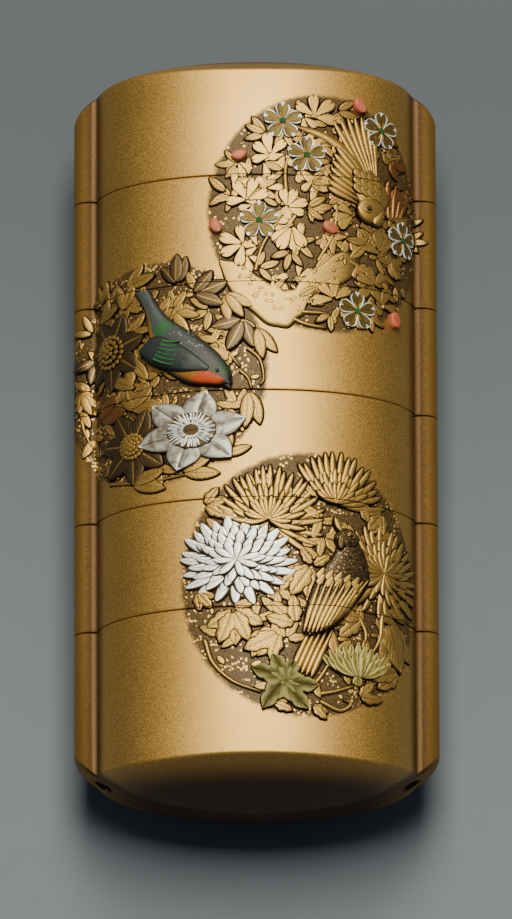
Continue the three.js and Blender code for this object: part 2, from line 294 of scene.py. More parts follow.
@dataclass
class Patches:
    """Raised patches on the skin, as arrays of patches by rows by columns.

    Rows run along a patch and columns across it, from its right side to its left.
    """

    u: np.ndarray
    y: np.ndarray
    lift: np.ndarray
    base: np.ndarray
    tone: np.ndarray
    flange: float = 0.13
    sunk: float = -0.15

    def closed(self) -> tuple[np.ndarray, ...]:
        """Adds a flange round each patch's foot, and a skirt and an underside below the skin.

        The outline's normal is its tangent turned a quarter turn. The flange's points are the
        outline's, moved along it, and the skirt's are the same points, sunk.

        Returns:
            u, y, lift, pattern coordinates and tint by patches and points, the quads and the
            underside of one patch.
        """
        number, rows, columns = self.u.shape
        grid = np.arange(rows * columns).reshape(rows, columns)
        loop = np.concatenate([grid[:, 0], grid[-1, 1:], grid[-2::-1, -1], grid[0, -2:0:-1]])
        u, y = self.u.reshape(number, -1), self.y.reshape(number, -1)
        ahead_u = np.roll(u[:, loop], -1, axis=1) - np.roll(u[:, loop], 1, axis=1)
        ahead_y = np.roll(y[:, loop], -1, axis=1) - np.roll(y[:, loop], 1, axis=1)
        length = np.maximum(np.hypot(ahead_u, ahead_y), 1e-9)
        foot_u = u[:, loop] + self.flange * ahead_y / length
        foot_y = y[:, loop] - self.flange * ahead_u / length
        foot_lift = np.broadcast_to(self.base[:, None], foot_u.shape)
        skirt_lift = np.full_like(foot_u, self.sunk)
        t, s = np.meshgrid(np.linspace(0, 1, rows), np.linspace(-1, 1, columns), indexing="ij")
        inner = np.stack([t.ravel(), s.ravel()], axis=-1)
        pattern = np.concatenate([inner, inner[loop], inner[loop]])
        # The flange and skirt carry the outline mask: a dark foot with painted shadow.
        outline = np.concatenate([np.zeros(rows * columns), np.ones(2 * len(loop))])
        tint = np.empty((number, len(outline), 4))
        tint[:, :, 0] = outline
        tint[:, :, 1:] = self.tone[:, None, :]
        first = rows * columns
        ring = np.arange(len(loop))
        after = np.roll(ring, -1)
        quads = np.concatenate([
            np.stack([grid[:-1, :-1], grid[1:, :-1], grid[1:, 1:], grid[:-1, 1:]],
                     -1).reshape(-1, 4),
            np.stack([loop, first + ring, first + after, loop[after]], -1),
            np.stack([ring, ring + len(loop), after + len(loop), after], -1) + first,
        ])
        underside = (first + len(loop) + ring[::-1])[None, :]
        return (np.concatenate([u, foot_u, foot_u], 1), np.concatenate([y, foot_y, foot_y], 1),
                np.concatenate([self.lift.reshape(number, -1), foot_lift, skirt_lift], 1),
                pattern, tint, quads, underside)

    def into(self, parts: MeshParts, low: float = -1e3, high: float = 1e3) -> None:
        """Adds the patches that reach between two heights to a mesh.

        Args:
            parts: The mesh to add to.
            low: The lower height.
            high: The upper one.
        """
        u, y, lift, pattern, tint, quads, underside = self.closed()
        kept = (y.max(axis=1) > low + 0.05) & (y.min(axis=1) < high - 0.05)
        if not kept.any():
            return
        u, y, lift, tint = u[kept], y[kept], lift[kept], tint[kept]
        number, size = u.shape
        shift = (np.arange(number) * size)[:, None, None]
        points = SECTION.place(u, y, lift).reshape(-1, 3)
        flat = np.broadcast_to(pattern, (number, size, 2)).reshape(-1, 2)
        parts.add(points, [(quads + shift).reshape(-1, 4), (underside + shift).reshape(number, -1)],
                  flat, tint.reshape(-1, 4))


def profile(shape: Shape, t: np.ndarray, s: np.ndarray) -> tuple[np.ndarray, np.ndarray]:
    """The outline of one petal or leaf.

    Args:
        shape: Which outline.
        t: Share of the way from base to tip, 0 to 1, by rows and columns.
        s: Share of the way across, -1 to 1.

    Returns:
        Half width as a share of the widest, and reach as a share of the length.
    """
    reach = t
    if shape is Shape.NOTCHED:
        width = (0.22 + 0.78 * np.sin(0.56 * math.pi * t) ** 1.5) * np.sqrt(1.04 - t ** 5)
        reach = t - t ** 4 * (0.26 * np.exp(-(s / 0.26) ** 2) + 0.1 * s ** 2)
    elif shape is Shape.POINTED:
        width = np.maximum(t, 1e-3) ** 0.65 * np.maximum(1 - t, 1e-3) ** 0.8 * 2.68
    elif shape is Shape.ROUNDED:
        width = (0.3 + 0.7 * np.sin(0.6 * math.pi * t)) * np.sqrt(1.03 - t ** 6)
        reach = t - 0.08 * t ** 6 * s ** 2
    elif shape is Shape.OVAL:
        width = np.sqrt(np.maximum(1 - (2 * t - 1) ** 2, 1e-3))
    elif shape is Shape.FINGER:
        width = (0.25 + 0.75 * np.sin(0.62 * math.pi * t) ** 1.2) * np.sqrt(1.02 - t ** 5)
    elif shape is Shape.LOBED:
        width = (np.maximum(t, 1e-3) ** 0.5 * np.maximum(1 - t, 1e-3) ** 0.8 * 2.3
                 * (0.7 + 0.3 * np.abs(np.cos(2.5 * math.pi * t + 0.3))))
    elif shape is Shape.WAISTED:
        width = np.maximum(t, 1e-3) ** 1.2 * np.maximum(1 - t, 1e-3) * 4.55
    else:
        width = 1.0 - 0.35 * t + 0.0 * s
    return width, reach


@dataclass
class Blades:
    """Many petals or leaves of one shape, each along its own slightly bent spine.

    A spine leaves its base in a direction and turns evenly by bend radians on its way to the
    tip. Every number may be one value or one for each blade.
    """

    at: np.ndarray
    direction: np.ndarray
    length: np.ndarray
    half: np.ndarray
    shape: Shape = Shape.POINTED
    height: float | np.ndarray = 0.32
    base: float | np.ndarray = FOOT
    bend: float | np.ndarray = 0.0
    rise: float | np.ndarray = 0.0
    cup: float = 0.0
    rib: float = 0.0
    rim: float = 0.72
    tone: Tone | np.ndarray = (0.0, 0.0, 0.0)
    rows: int = 11
    columns: int = 9
    flange: float = 0.17

    def patches(self) -> Patches:
        """Places every blade's grid on the skin.

        Across a blade its height is rim + (1 - rim) * (1 - s^2) ^ 0.6, less a groove along the
        rib, and a cup turns that round, so that the rim stands and the middle is low.

        Returns:
            The patches.
        """
        at = np.atleast_2d(np.asarray(self.at, dtype=float))
        number = len(at)
        angle, length, half, height, base, bend, rise = (
            np.broadcast_to(np.asarray(value, dtype=float), (number,))[:, None, None]
            for value in (np.radians(self.direction), self.length, self.half, self.height,
                          self.base, self.bend, self.rise))
        t, s = np.meshgrid(self._rows(), np.linspace(-1, 1, self.columns), indexing="ij")
        width, reach = profile(self.shape, t, s)
        turned = angle + bend * reach / 2
        along = length * reach
        lateral = half * width * s
        facing = angle + bend * reach
        u = at[:, 0, None, None] + along * np.cos(turned) - lateral * np.sin(facing)
        y = at[:, 1, None, None] + along * np.sin(turned) + lateral * np.cos(facing)
        dome = (1 - self.rim) * (1 - s ** 2) ** 0.6
        dome = self.rim + dome * np.sin(math.pi * (0.1 + 0.8 * t)) ** 0.35
        dome = dome - self.rib * np.exp(-(s / 0.16) ** 2) - self.cup * (1 - s ** 2) * (1 - 0.6 * t)
        lift = base + height * dome + rise * t ** 1.3
        tone = np.broadcast_to(np.asarray(self.tone, dtype=float), (number, 3))
        return Patches(u, y, lift, np.broadcast_to(base[:, 0, 0], (number,)), tone, self.flange)

    def _rows(self) -> np.ndarray:
        """Shares of the length, closer together at both ends: (1 - cos) / 2 of even turns."""
        return (1 - np.cos(np.linspace(0, math.pi, self.rows))) / 2


def through(points: np.ndarray, t: np.ndarray) -> np.ndarray:
    """A smooth curve through given points (Catmull-Rom).

    Args:
        points: K by 2 or more coordinates.
        t: Shares of the way, 0 to 1.

    Returns:
        A point for each share.
    """
    points = np.asarray(points, dtype=float)
    ends = np.concatenate([[2 * points[0] - points[1]], points, [2 * points[-1] - points[-2]]])
    span = np.clip(t, 0, 1) * (len(points) - 1)
    i = np.minimum(span.astype(int), len(points) - 2)
    f = (span - i)[:, None]
    a, b, c, d = ends[i], ends[i + 1], ends[i + 2], ends[i + 3]
    return 0.5 * (2 * b + (c - a) * f + (2 * a - 5 * b + 4 * c - d) * f ** 2
                  + (3 * b - 3 * c + d - a) * f ** 3)


def strand(points: Line, half: float, height: float = 0.25,
           taper: float = 0.4, tone: Tone = (0, 0, 0)) -> Patches:
    """A stem or tendril: a strip of half width * (1 - taper * t) about a smooth curve.

    Args:
        points: The curve's places on the skin.
        half: Half its width at the start.
        height: How far it stands out.
        taper: Share of its width lost by the end.
        tone: Pewter, warm and pattern masks.

    Returns:
        One patch.
    """
    rows, columns = 6 * len(points), 5
    t = np.linspace(0, 1, rows)
    line = through(np.asarray(points), t)
    ahead = np.gradient(line, axis=0)
    ahead /= np.maximum(np.linalg.norm(ahead, axis=1, keepdims=True), 1e-9)
    s = np.linspace(-1, 1, columns)[None, :]
    width = (half * (1 - taper * t))[:, None]
    u = line[:, :1] - ahead[:, 1:] * width * s
    y = line[:, 1:] + ahead[:, :1] * width * s
    lift = FOOT + height * (0.4 + 0.6 * np.sqrt(1 - s ** 2)) + 0 * u
    return Patches(u[None], y[None], lift[None], np.array([FOOT]), np.array([tone]), 0.1)


def between(right: Line, left: Line, height: float,
            rows: int, columns: int, tone: Tone = (0, 0, 0),
            swell: float = 0.6, base: float = FOOT, ragged: float = 0.0) -> Patches:
    """A patch between two smooth edges, crowned across: height * (1 - s^2) ^ swell.

    Args:
        right: Places along its right edge, seen from the patch's start.
        left: Places along its left edge.
        height: How far its middle stands out.
        rows: Grid lines along it.
        columns: Grid lines across it.
        tone: Pewter, warm and pattern masks.
        swell: Power of the crown: lower is flatter.
        base: Lift of its foot.
        ragged: How far its edges wander, as two sines of their place.

    Returns:
        One patch.
    """
    t = np.linspace(0, 1, rows)
    a, b = through(np.asarray(right), t), through(np.asarray(left), t)
    for line, turns in ((a, (3.3, 7.9)), (b, (4.1, 9.7))):
        wave = sum(np.sin(2 * math.pi * number * t + number) / number for number in turns)
        line[:, 1] += ragged * turns[0] * wave * np.sin(math.pi * t)
    share = np.linspace(0, 1, columns)[None, :, None]
    grid = a[:, None] * (1 - share) + b[:, None] * share
    s = 2 * share[..., 0] - 1
    ends = np.sin(math.pi * (0.08 + 0.84 * t))[:, None] ** 0.5
    lift = base + height * (0.35 + 0.65 * (1 - s ** 2) ** swell * ends)
    return Patches(grid[None, ..., 0], grid[None, ..., 1], lift[None], np.array([base]),
                   np.array([tone]))


def laid(*parts: Blades | Patches) -> list[Patches]:
    """Places whichever parts are still blades."""
    return [part.patches() if isinstance(part, Blades) else part for part in parts]


@dataclass(frozen=True)
class Spray:
    """Blades that fan out from one place, evenly about one direction."""

    u: float
    y: float
    facing: float
    blades: int
    spread: float
    length: float


def fan(sprays: list[Spray], shape: Shape, half: float, seed: int, **sizes: object) -> Patches:
    """Turns sprays into blades.

    The directions of a spray are its facing plus even shares of its spread. Its outer blades are
    a little shorter than its middle ones, each blade is up to a tenth longer or shorter, and
    every other one lies over its neighbours.

    Args:
        sprays: The sprays.
        shape: The blades' outline.
        half: Half a blade's width, as a share of its length.
        seed: Seed of the small differences.
        **sizes: Other fields of Blades.

    Returns:
        The patches.
    """
    random = np.random.default_rng(seed)
    counts = np.array([spray.blades for spray in sprays])
    owner = np.repeat(np.arange(len(sprays)), counts)
    turn = np.concatenate([np.linspace(-0.5, 0.5, n) if n > 1 else np.zeros(1) for n in counts])
    place = np.array([(spray.u, spray.y) for spray in sprays])[owner]
    facing = np.array([spray.facing for spray in sprays])[owner]
    spread = np.array([spray.spread for spray in sprays])[owner]
    length = np.array([spray.length for spray in sprays])[owner]
    length = length * (1 - 0.35 * turn ** 2) * random.uniform(0.9, 1.1, len(owner))
    direction = facing + spread * turn + random.uniform(-5, 5, len(owner))
    start = 0.12 * length[:, None] * np.stack(
        [np.cos(np.radians(direction)), np.sin(np.radians(direction))], axis=-1)
    over = FOOT + 0.1 * (np.arange(len(owner)) % 2)
    return Blades(place + start, direction, length, half * length, shape, base=over,
                  bend=random.uniform(-0.25, 0.25, len(owner)), **sizes).patches()


def rosette(u: float, y: float, radius: float, rounds: int, petals: int, first: float, last: float,
            shape: Shape = Shape.FINGER, half: float = 0.11, height: float = 0.3,
            step: float = 0.16, shrink: float = 0.74, **sizes: object) -> list[Patches]:
    """Rows of petals about one centre, each row shorter and higher than the one outside it.

    Args:
        u: The centre's distance round the section.
        y: The centre's height.
        radius: Reach of the outer row.
        rounds: How many rows.
        petals: Petals in the outer row.
        first: Direction of the first petal, in degrees.
        last: Direction of the last one; a full turn leaves no double petal.
        shape: The petals' outline.
        half: Half a petal's width, as a share of the radius.
        height: A petal's height.
        step: How much higher each row starts.
        shrink: Each row's reach as a share of the last.
        **sizes: Other fields of Blades.

    Returns:
        Patches of each row, the outer row first.
    """
    made = []
    for row in range(rounds):
        number = max(5, round(petals * (1 - 0.16 * row)))
        full = last - first >= 360
        random = np.random.default_rng(petals + row)
        direction = np.linspace(first, last, number, endpoint=not full) + row * 90 / number
        direction = direction + random.uniform(-3, 3, number)
        reach = radius * shrink ** row * random.uniform(0.92, 1.04, number)
        made.append(Blades(
            np.tile([u, y], (number, 1)), direction, reach, half * radius * 0.93 ** row, shape,
            height=height, base=0.04 + step * row + 0.09 * (np.arange(number) % 2),
            bend=0.6 * np.cos(np.radians(direction)), rim=0.5, **sizes).patches())
    return made


def widened(patches: Patches, centre: float, wide: float) -> Patches:
    """Stretches patches round the section about a centre."""
    patches.u = centre + (patches.u - centre) * wide
    return patches


def beads(u: float, y: float, radius: float, bead: float, rings: int, base: float,
          tone: Tone = (0, 0, 0)) -> Patches:
    """A domed cluster of beads: rings of six, twelve and so on about a middle one.

    Args:
        u: The centre's distance round the section.
        y: The centre's height.
        radius: Reach of the outer ring.
        bead: Radius of one bead.
        rings: How many rings.
        base: Lift of the outer ring's foot.
        tone: Pewter, warm and pattern masks.

    Returns:
        The patches.
    """
    ring = np.concatenate([np.full(max(1, 6 * k), k) for k in range(rings + 1)])
    angle = np.concatenate([np.arange(max(1, 6 * k)) / max(1, 6 * k) for k in range(rings + 1)])
    angle = 2 * math.pi * angle + 0.4 * ring
    reach = radius * ring / rings
    at = np.stack([u + reach * np.cos(angle) - bead, y + reach * np.sin(angle)], axis=-1)
    crown = base + 0.45 * radius * (1 - (ring / rings) ** 2) * 0.5
    return Blades(at, 0.0, 2 * bead, bead, Shape.OVAL, height=1.1 * bead, base=crown, tone=tone,
                  rows=6, columns=5, flange=0.03).patches()


# ---- shader wiring ----
class Wiring:
    """Adds and joins shader nodes in one node tree."""

    def __init__(self, tree: bpy.types.NodeTree) -> None:
        """Keeps the tree and empties it."""
        self.tree = tree
        tree.nodes.clear()

    def node(self, kind: str, inputs: dict[str | int, object] | None = None,
             **settings: object) -> bpy.types.Node:
        """Adds a node.

        Args:
            kind: The node's type, without "ShaderNode".
            inputs: Values, or other nodes' sockets, for its inputs.
            **settings: Its own properties.

        Returns:
            The node.
        """
        made = self.tree.nodes.new(kind if kind.startswith("Node") else "ShaderNode" + kind)
        for name, value in settings.items():
            setattr(made, name, value)
        for name, value in (inputs or {}).items():
            if isinstance(value, Socket):
                self.tree.links.new(value, made.inputs[name])
            else:
                made.inputs[name].default_value = value
        return made

    def feed(self, node: bpy.types.Node, name: str, value: Socket) -> None:
        """Joins a socket to a node's input."""
        self.tree.links.new(value, node.inputs[name])

    def math(self, operation: str, *values: object) -> Socket:
        """One sum on numbers, such as ADD or MAXIMUM."""
        return self.node("Math", dict(enumerate(values)), operation=operation).outputs[0]

    def times(self, value: object, factor: object) -> Socket:
        """The product of two numbers."""
        return self.math("MULTIPLY", value, factor)

    def scaled(self, value: object, factor: object, plus: object) -> Socket:
        """A number times a factor, plus a third number."""
        return self.math("MULTIPLY_ADD", value, factor, plus)

    def rest(self, value: object) -> Socket:
        """What is left of 1 beside a number."""
        return self.math("SUBTRACT", 1.0, value)

    def smooth(self, value: object, low: float, high: float) -> Socket:
        """A smooth step from 0 at low to 1 at high."""
        made = self.node("MapRange", {"Value": value, "From Min": low, "From Max": high},
                         interpolation_type="SMOOTHSTEP")
        return made.outputs["Result"]

    def fall(self, value: object, low: float, high: float) -> Socket:
        """A smooth step from 1 at low to 0 at high."""
        return self.rest(self.smooth(value, low, high))

    def where(self) -> Socket:
        """The place in the piece's own frame."""
        return self.node("TexCoord").outputs["Object"]

    def flat(self) -> Socket:
        """The pattern coordinates."""
        return self.node("UVMap", uv_map="flat").outputs["UV"]

    def tint(self) -> bpy.types.Node:
        """The masks, split: Red is the outline, a dark foot with painted shadow, Green pewter and
        Blue warm.
        """
        colour = self.node("Attribute", attribute_name="tint").outputs["Color"]
        return self.node("SeparateColor", {"Color": colour})

    def bump(self, shader: bpy.types.Node, height: object, deep: float, strength: float) -> None:
        """Presses a pattern into a shader's normal, deep mm from its low to its high."""
        made = self.node("Bump", {"Height": height, "Distance": deep * MM, "Strength": strength})
        self.feed(shader, "Normal", made.outputs[0])

    def mix(self, share: object, first: object, second: object) -> Socket:
        """A colour between two others.

        Args:
            share: Share of the second one.
            first: A colour or its socket.
            second: The same.

        Returns:
            The mixed colour.
        """
        made = self.node("Mix", data_type="RGBA")
        for index, value in ((0, share), (6, first), (7, second)):
            if isinstance(value, Socket):
                self.tree.links.new(value, made.inputs[index])
            else:
                full = value if index == 0 or len(value) == 4 else (*value, 1.0)
                made.inputs[index].default_value = full
        return made.outputs[2]

    def ramp(self, share: object, stops: list[tuple[float, Colour]]) -> Socket:
        """Colours along a value, eased from stop to stop.

        Args:
            share: The value, 0 to 1.
            stops: Places along it, each with its colour.

        Returns:
            The colour.
        """
        made = self.node("ValToRGB", {"Fac": share})
        elements = made.color_ramp.elements
        made.color_ramp.interpolation = "EASE"
        while len(elements) < len(stops):
            elements.new(1.0)
        for element, (place, colour) in zip(elements, stops):
            element.position = place
            element.color = (*colour, 1.0)
        return made.outputs["Color"]


def group(name: str, inputs: dict[str, str], outputs: dict[str, str]) -> tuple[
        bpy.types.NodeTree, Wiring, bpy.types.Node, bpy.types.Node]:
    """Starts a shader node group with named sockets.

    Args:
        name: The group's name.
        inputs: Socket kinds by name, such as Float or Vector.
        outputs: The same for what it puts out.

    Returns:
        The group, its wiring, and its input and output nodes.
    """
    tree = bpy.data.node_groups.new(name, "ShaderNodeTree")
    for label, kind in inputs.items():
        tree.interface.new_socket(name=label, in_out="INPUT", socket_type="NodeSocket" + kind)
    for label, kind in outputs.items():
        tree.interface.new_socket(name=label, in_out="OUTPUT", socket_type="NodeSocket" + kind)
    wiring = Wiring(tree)
    return tree, wiring, wiring.node("NodeGroupInput"), wiring.node("NodeGroupOutput")


def powder_group() -> bpy.types.NodeTree:
    """Sprinkled gold powder: fine grains of light and dark over slow clouds of thinner powder."""
    tree, w, into, out = group(
        "gold_powder", {"Vector": "Vector", "Grains": "Float", "Clouds": "Float"},
        {"Grain": "Float", "Cloud": "Float", "Height": "Float"})
    grain = w.node("TexNoise", {"Vector": into.outputs["Vector"], "Scale": into.outputs["Grains"],
                                "Detail": 2.0, "Roughness": 0.6}).outputs["Fac"]
    cloud = w.node("TexNoise", {"Vector": into.outputs["Vector"], "Scale": into.outputs["Clouds"],
                                "Detail": 5.0, "Roughness": 0.55}).outputs["Fac"]
    w.feed(out, "Grain", w.smooth(grain, 0.3, 0.7))
    w.feed(out, "Cloud", w.smooth(cloud, 0.3, 0.7))
    w.feed(out, "Height", grain)
    return tree


def flakes_group() -> bpy.types.NodeTree:
    """Metal flakes: cells of a Voronoi pattern whose random number is under the share, which
    itself drifts with slow noise, so that they lie in clusters."""
    tree, w, into, out = group(
        "metal_flakes", {"Vector": "Vector", "Scale": "Float", "Share": "Float"},
        {"Flake": "Float", "Shade": "Float"})
    cells = w.node("TexVoronoi", {"Vector": into.outputs["Vector"], "Scale": into.outputs["Scale"]},
                   distance="CHEBYCHEV")
    number = w.node("SeparateColor", {"Color": cells.outputs["Color"]})
    drift = w.node("TexNoise", {"Vector": into.outputs["Vector"], "Scale": 450.0, "Detail": 2.0})
    share = w.times(into.outputs["Share"], w.smooth(drift.outputs["Fac"], 0.38, 0.66))
    chosen = w.math("LESS_THAN", number.outputs["Red"], share)
    body = w.fall(cells.outputs["Distance"], 0.34, 0.46)
    w.feed(out, "Flake", w.times(chosen, body))
    w.feed(out, "Shade", number.outputs["Green"])
    return tree


def roundel_group() -> bpy.types.NodeTree:
    """A mask that is 1 inside an ellipse on the unrolled skin, with a slightly worn edge."""
    tree, w, into, out = group(
        "roundel", {"Vector": "Vector", "Centre": "Vector", "Radius": "Vector", "Wear": "Float"},
        {"Mask": "Float"})
    away = w.node("VectorMath", {0: into.outputs["Vector"], 1: into.outputs["Centre"]},
                  operation="SUBTRACT").outputs[0]
    share = w.node("VectorMath", {0: away, 1: into.outputs["Radius"]},
                   operation="DIVIDE").outputs[0]
    reach = w.node("VectorMath", {0: share}, operation="LENGTH").outputs["Value"]
    noise = w.node("TexNoise", {"Vector": into.outputs["Vector"], "Scale": 90.0, "Detail": 3.0})
    ragged = w.scaled(noise.outputs["Fac"], into.outputs["Wear"], reach)
    w.feed(out, "Mask", w.fall(ragged, 1.0, 1.05))
    return tree


def veins_group() -> bpy.types.NodeTree:
    """Cut lines on a blade: a midrib at s = 0, side lines that sweep from it, and its rim."""
    tree, w, into, out = group(
        "cut_veins", {"Vector": "Vector", "Lines": "Float"},
        {"Midrib": "Float", "Lines": "Float", "Rim": "Float"})
    split = w.node("SeparateXYZ", {"Vector": into.outputs["Vector"]})
    across = w.math("ABSOLUTE", split.outputs["Y"])
    midrib = w.fall(across, 0.02, 0.12)
    slant = w.scaled(across, -0.3, split.outputs["X"])
    wave = w.math("SINE", w.times(slant, into.outputs["Lines"]))
    w.feed(out, "Midrib", midrib)
    w.feed(out, "Lines", w.smooth(wave, 0.65, 0.98))
    w.feed(out, "Rim", w.math("MAXIMUM", across, split.outputs["X"]))
    return tree


def plumage_group() -> bpy.types.NodeTree:
    """Small feathers: dark gaps between the cells of a Voronoi pattern, and pale tips in them."""
    tree, w, into, out = group(
        "small_feathers", {"Vector": "Vector", "Scale": "Float"}, {"Gap": "Float", "Tip": "Float"})
    cells = {"Vector": into.outputs["Vector"], "Scale": into.outputs["Scale"]}
    edge = w.node("TexVoronoi", cells, feature="DISTANCE_TO_EDGE")
    middle = w.node("TexVoronoi", cells)
    gap = w.fall(edge.outputs["Distance"], 0.02, 0.12)
    tip = w.fall(middle.outputs["Distance"], 0.12, 0.3)
    w.feed(out, "Gap", gap)
    w.feed(out, "Tip", tip)
    return tree


class Groups:
    """The node groups that several finishes share, each built once."""

    def __init__(self) -> None:
        """Builds the groups."""
        self.powder = powder_group()
        self.flakes = flakes_group()
        self.roundel = roundel_group()
        self.veins = veins_group()
        self.feathers = plumage_group()


def new_finish(name: str, **constants: object) -> tuple[Material, Wiring, bpy.types.Node]:
    """Starts a material with a Principled shader.

    Args:
        name: The material's name.
        **constants: Values for the shader's own sockets, with _ for a space.

    Returns:
        The material, its wiring and the shader.
    """
    material = bpy.data.materials.new(name)
    material.use_nodes = True
    wiring = Wiring(material.node_tree)
    shader = wiring.node("BsdfPrincipled")
    output = wiring.node("OutputMaterial", {"Surface": shader.outputs[0]})
    output.is_active_output = True
    for label, value in constants.items():
        shader.inputs[label.replace("_", " ")].default_value = value
    return material, wiring, shader


# ---- finishes ----
@dataclass(frozen=True)
class Roundel:
    """An oval field on the unrolled skin that holds one picture."""

    u: float
    y: float
    half_wide: float
    half_high: float
    bright_flakes: float


CHERRY_FIELD = Roundel(9.0, 26.5, 15.0, 16.0, 0.12)
CLEMATIS_FIELD = Roundel(-13.5, 5.5, 15.0, 15.0, 0.5)
CHRYSANTHEMUM_FIELD = Roundel(6.5, -23.5, 16.0, 17.5, 0.45)


@dataclass(frozen=True)
class GoldLacquer:
    """Powdered gold under clear lacquer; brown wear with painted shade at the grooves, and painted
    brown shade on the runners and ends.
    """

    gold: Colour = (0.59, 0.375, 0.115)
    thin: Colour = (0.33, 0.19, 0.050)
    # Painted shade: the darker brown gold that covers the runners.
    runner: Colour = (0.185, 0.125, 0.042)
    # Brown of the grooves' wear and painted shade, and of the painted shade over the ends.
    wear_and_shade: Colour = (0.040, 0.017, 0.008)
    ground: Colour = (0.020, 0.012, 0.008)
    ground_grain: Colour = (0.175, 0.108, 0.036)
    flake: Colour = (0.85, 0.58, 0.22)
    grain_mm: float = 0.18
    cloud_mm: float = 9.0
    flake_mm: float = 0.34
    # Width of the band of wear and painted shade along each groove, in mm from it.
    wear_and_shade_from: float = 0.5
    wear_and_shade_to: float = 3.0
    # Painted shade over the ends: it grows between these heights in mm.
    shade_from: float = 45.7
    shade_to: float = 48.6

    def material(self, groups: Groups, fields: list[Roundel]) -> Material:
        """Builds the finish of the six shells.

        Args:
            groups: The shared node groups.
            fields: The roundels, whose ground is darker.

        Returns:
            The material, which reads Object coordinates and the unrolled UV map.
        """
        material, w, shader = new_finish("gold_lacquer", Coat_Roughness=0.3,
                                         Specular_IOR_Level=0.25)
        place = w.node("TexCoord")
        flat = w.flat()
        powder = w.node("Group", {
            "Vector": place.outputs["Object"], "Grains": 1 / (self.grain_mm * MM),
            "Clouds": 1 / (self.cloud_mm * MM)}, node_tree=groups.powder)
        base = w.mix(w.scaled(powder.outputs["Cloud"], 0.3, 0.7), self.thin, self.gold)
        shade = w.scaled(powder.outputs["Grain"], -0.8, 0.85)
        base = w.mix(shade, base, self.thin)
        split = w.node("SeparateXYZ", {"Vector": flat})
        reach = w.math("ABSOLUTE", split.outputs["X"])
        groove = w.math("ABSOLUTE", w.math("SUBTRACT", reach, SECTION.groove_u * UV_MM))
        # Wear and painted shade, darkest at each groove and gone a few mm from it.
        wear_and_shade = w.fall(groove, self.wear_and_shade_from * UV_MM, self.wear_and_shade_to * UV_MM)
        height = w.math("ABSOLUTE", split.outputs["Y"])
        # Painted shade: the gold turns dark brown towards both ends.
        end = w.smooth(height, self.shade_from * UV_MM, self.shade_to * UV_MM)
        # Painted shade on the runners: a darker speckled brown gold over them.
        runner = w.smooth(reach, (SECTION.groove_u + 0.2) * UV_MM, (SECTION.groove_u + 0.9) * UV_MM)
        speckled_runner_shade = w.mix(powder.outputs["Grain"], self.thin, self.runner)
        base = w.mix(w.times(runner, 0.9), base, speckled_runner_shade)
        # The grooves' wear and painted shade and the ends' painted shade, mixed to the dark brown.
        patina_and_shade = w.math("MAXIMUM", w.times(wear_and_shade, 0.9), w.times(end, 0.97))
        base = w.mix(patina_and_shade, base, self.wear_and_shade)
        grain = w.times(powder.outputs["Grain"], 0.8)
        ground = w.mix(grain, self.ground, self.ground_grain)
        mask, bare = 0.0, 0.0
        for share in fields:
            field_mask = w.node("Group", {
                "Vector": flat, "Centre": (share.u * UV_MM, share.y * UV_MM, 0),
                "Radius": (share.half_wide * UV_MM, share.half_high * UV_MM, 1), "Wear": 0.05},
                node_tree=groups.roundel).outputs["Mask"]
            flakes = w.node("Group", {
                "Vector": place.outputs["Object"], "Scale": 1 / (self.flake_mm * MM),
                "Share": share.bright_flakes}, node_tree=groups.flakes)
            spangled = w.mix(flakes.outputs["Flake"], ground, self.flake)
            base = w.mix(field_mask, base, spangled)
            mask = w.math("MAXIMUM", mask, field_mask)
            dull = w.rest(flakes.outputs["Flake"])
            bare = w.math("MAXIMUM", bare, w.times(field_mask, dull))
        w.feed(shader, "Base Color", base)
        rough = w.scaled(powder.outputs["Grain"], 0.1, 0.44)
        rough = w.scaled(runner, 0.2, rough)
        w.feed(shader, "Roughness", w.scaled(mask, 0.12, rough))
        # Less metal where the ends are painted shaded, on the bare ground, and a little in the
        # grooves.
        dark = w.math("MAXIMUM", w.times(end, 0.85), w.times(bare, 0.45))
        dark = w.math("MAXIMUM", dark, w.times(wear_and_shade, 0.2))
        bright = w.rest(dark)
        w.feed(shader, "Metallic", w.times(bright, 0.9))
        coat = w.scaled(runner, -0.2, 0.2)
        w.feed(shader, "Coat Weight", w.times(bright, coat))
        depth = w.scaled(mask, 0.6, 0.25)
        w.bump(shader, w.times(powder.outputs["Height"], depth), 0.05, 0.6)
        return material


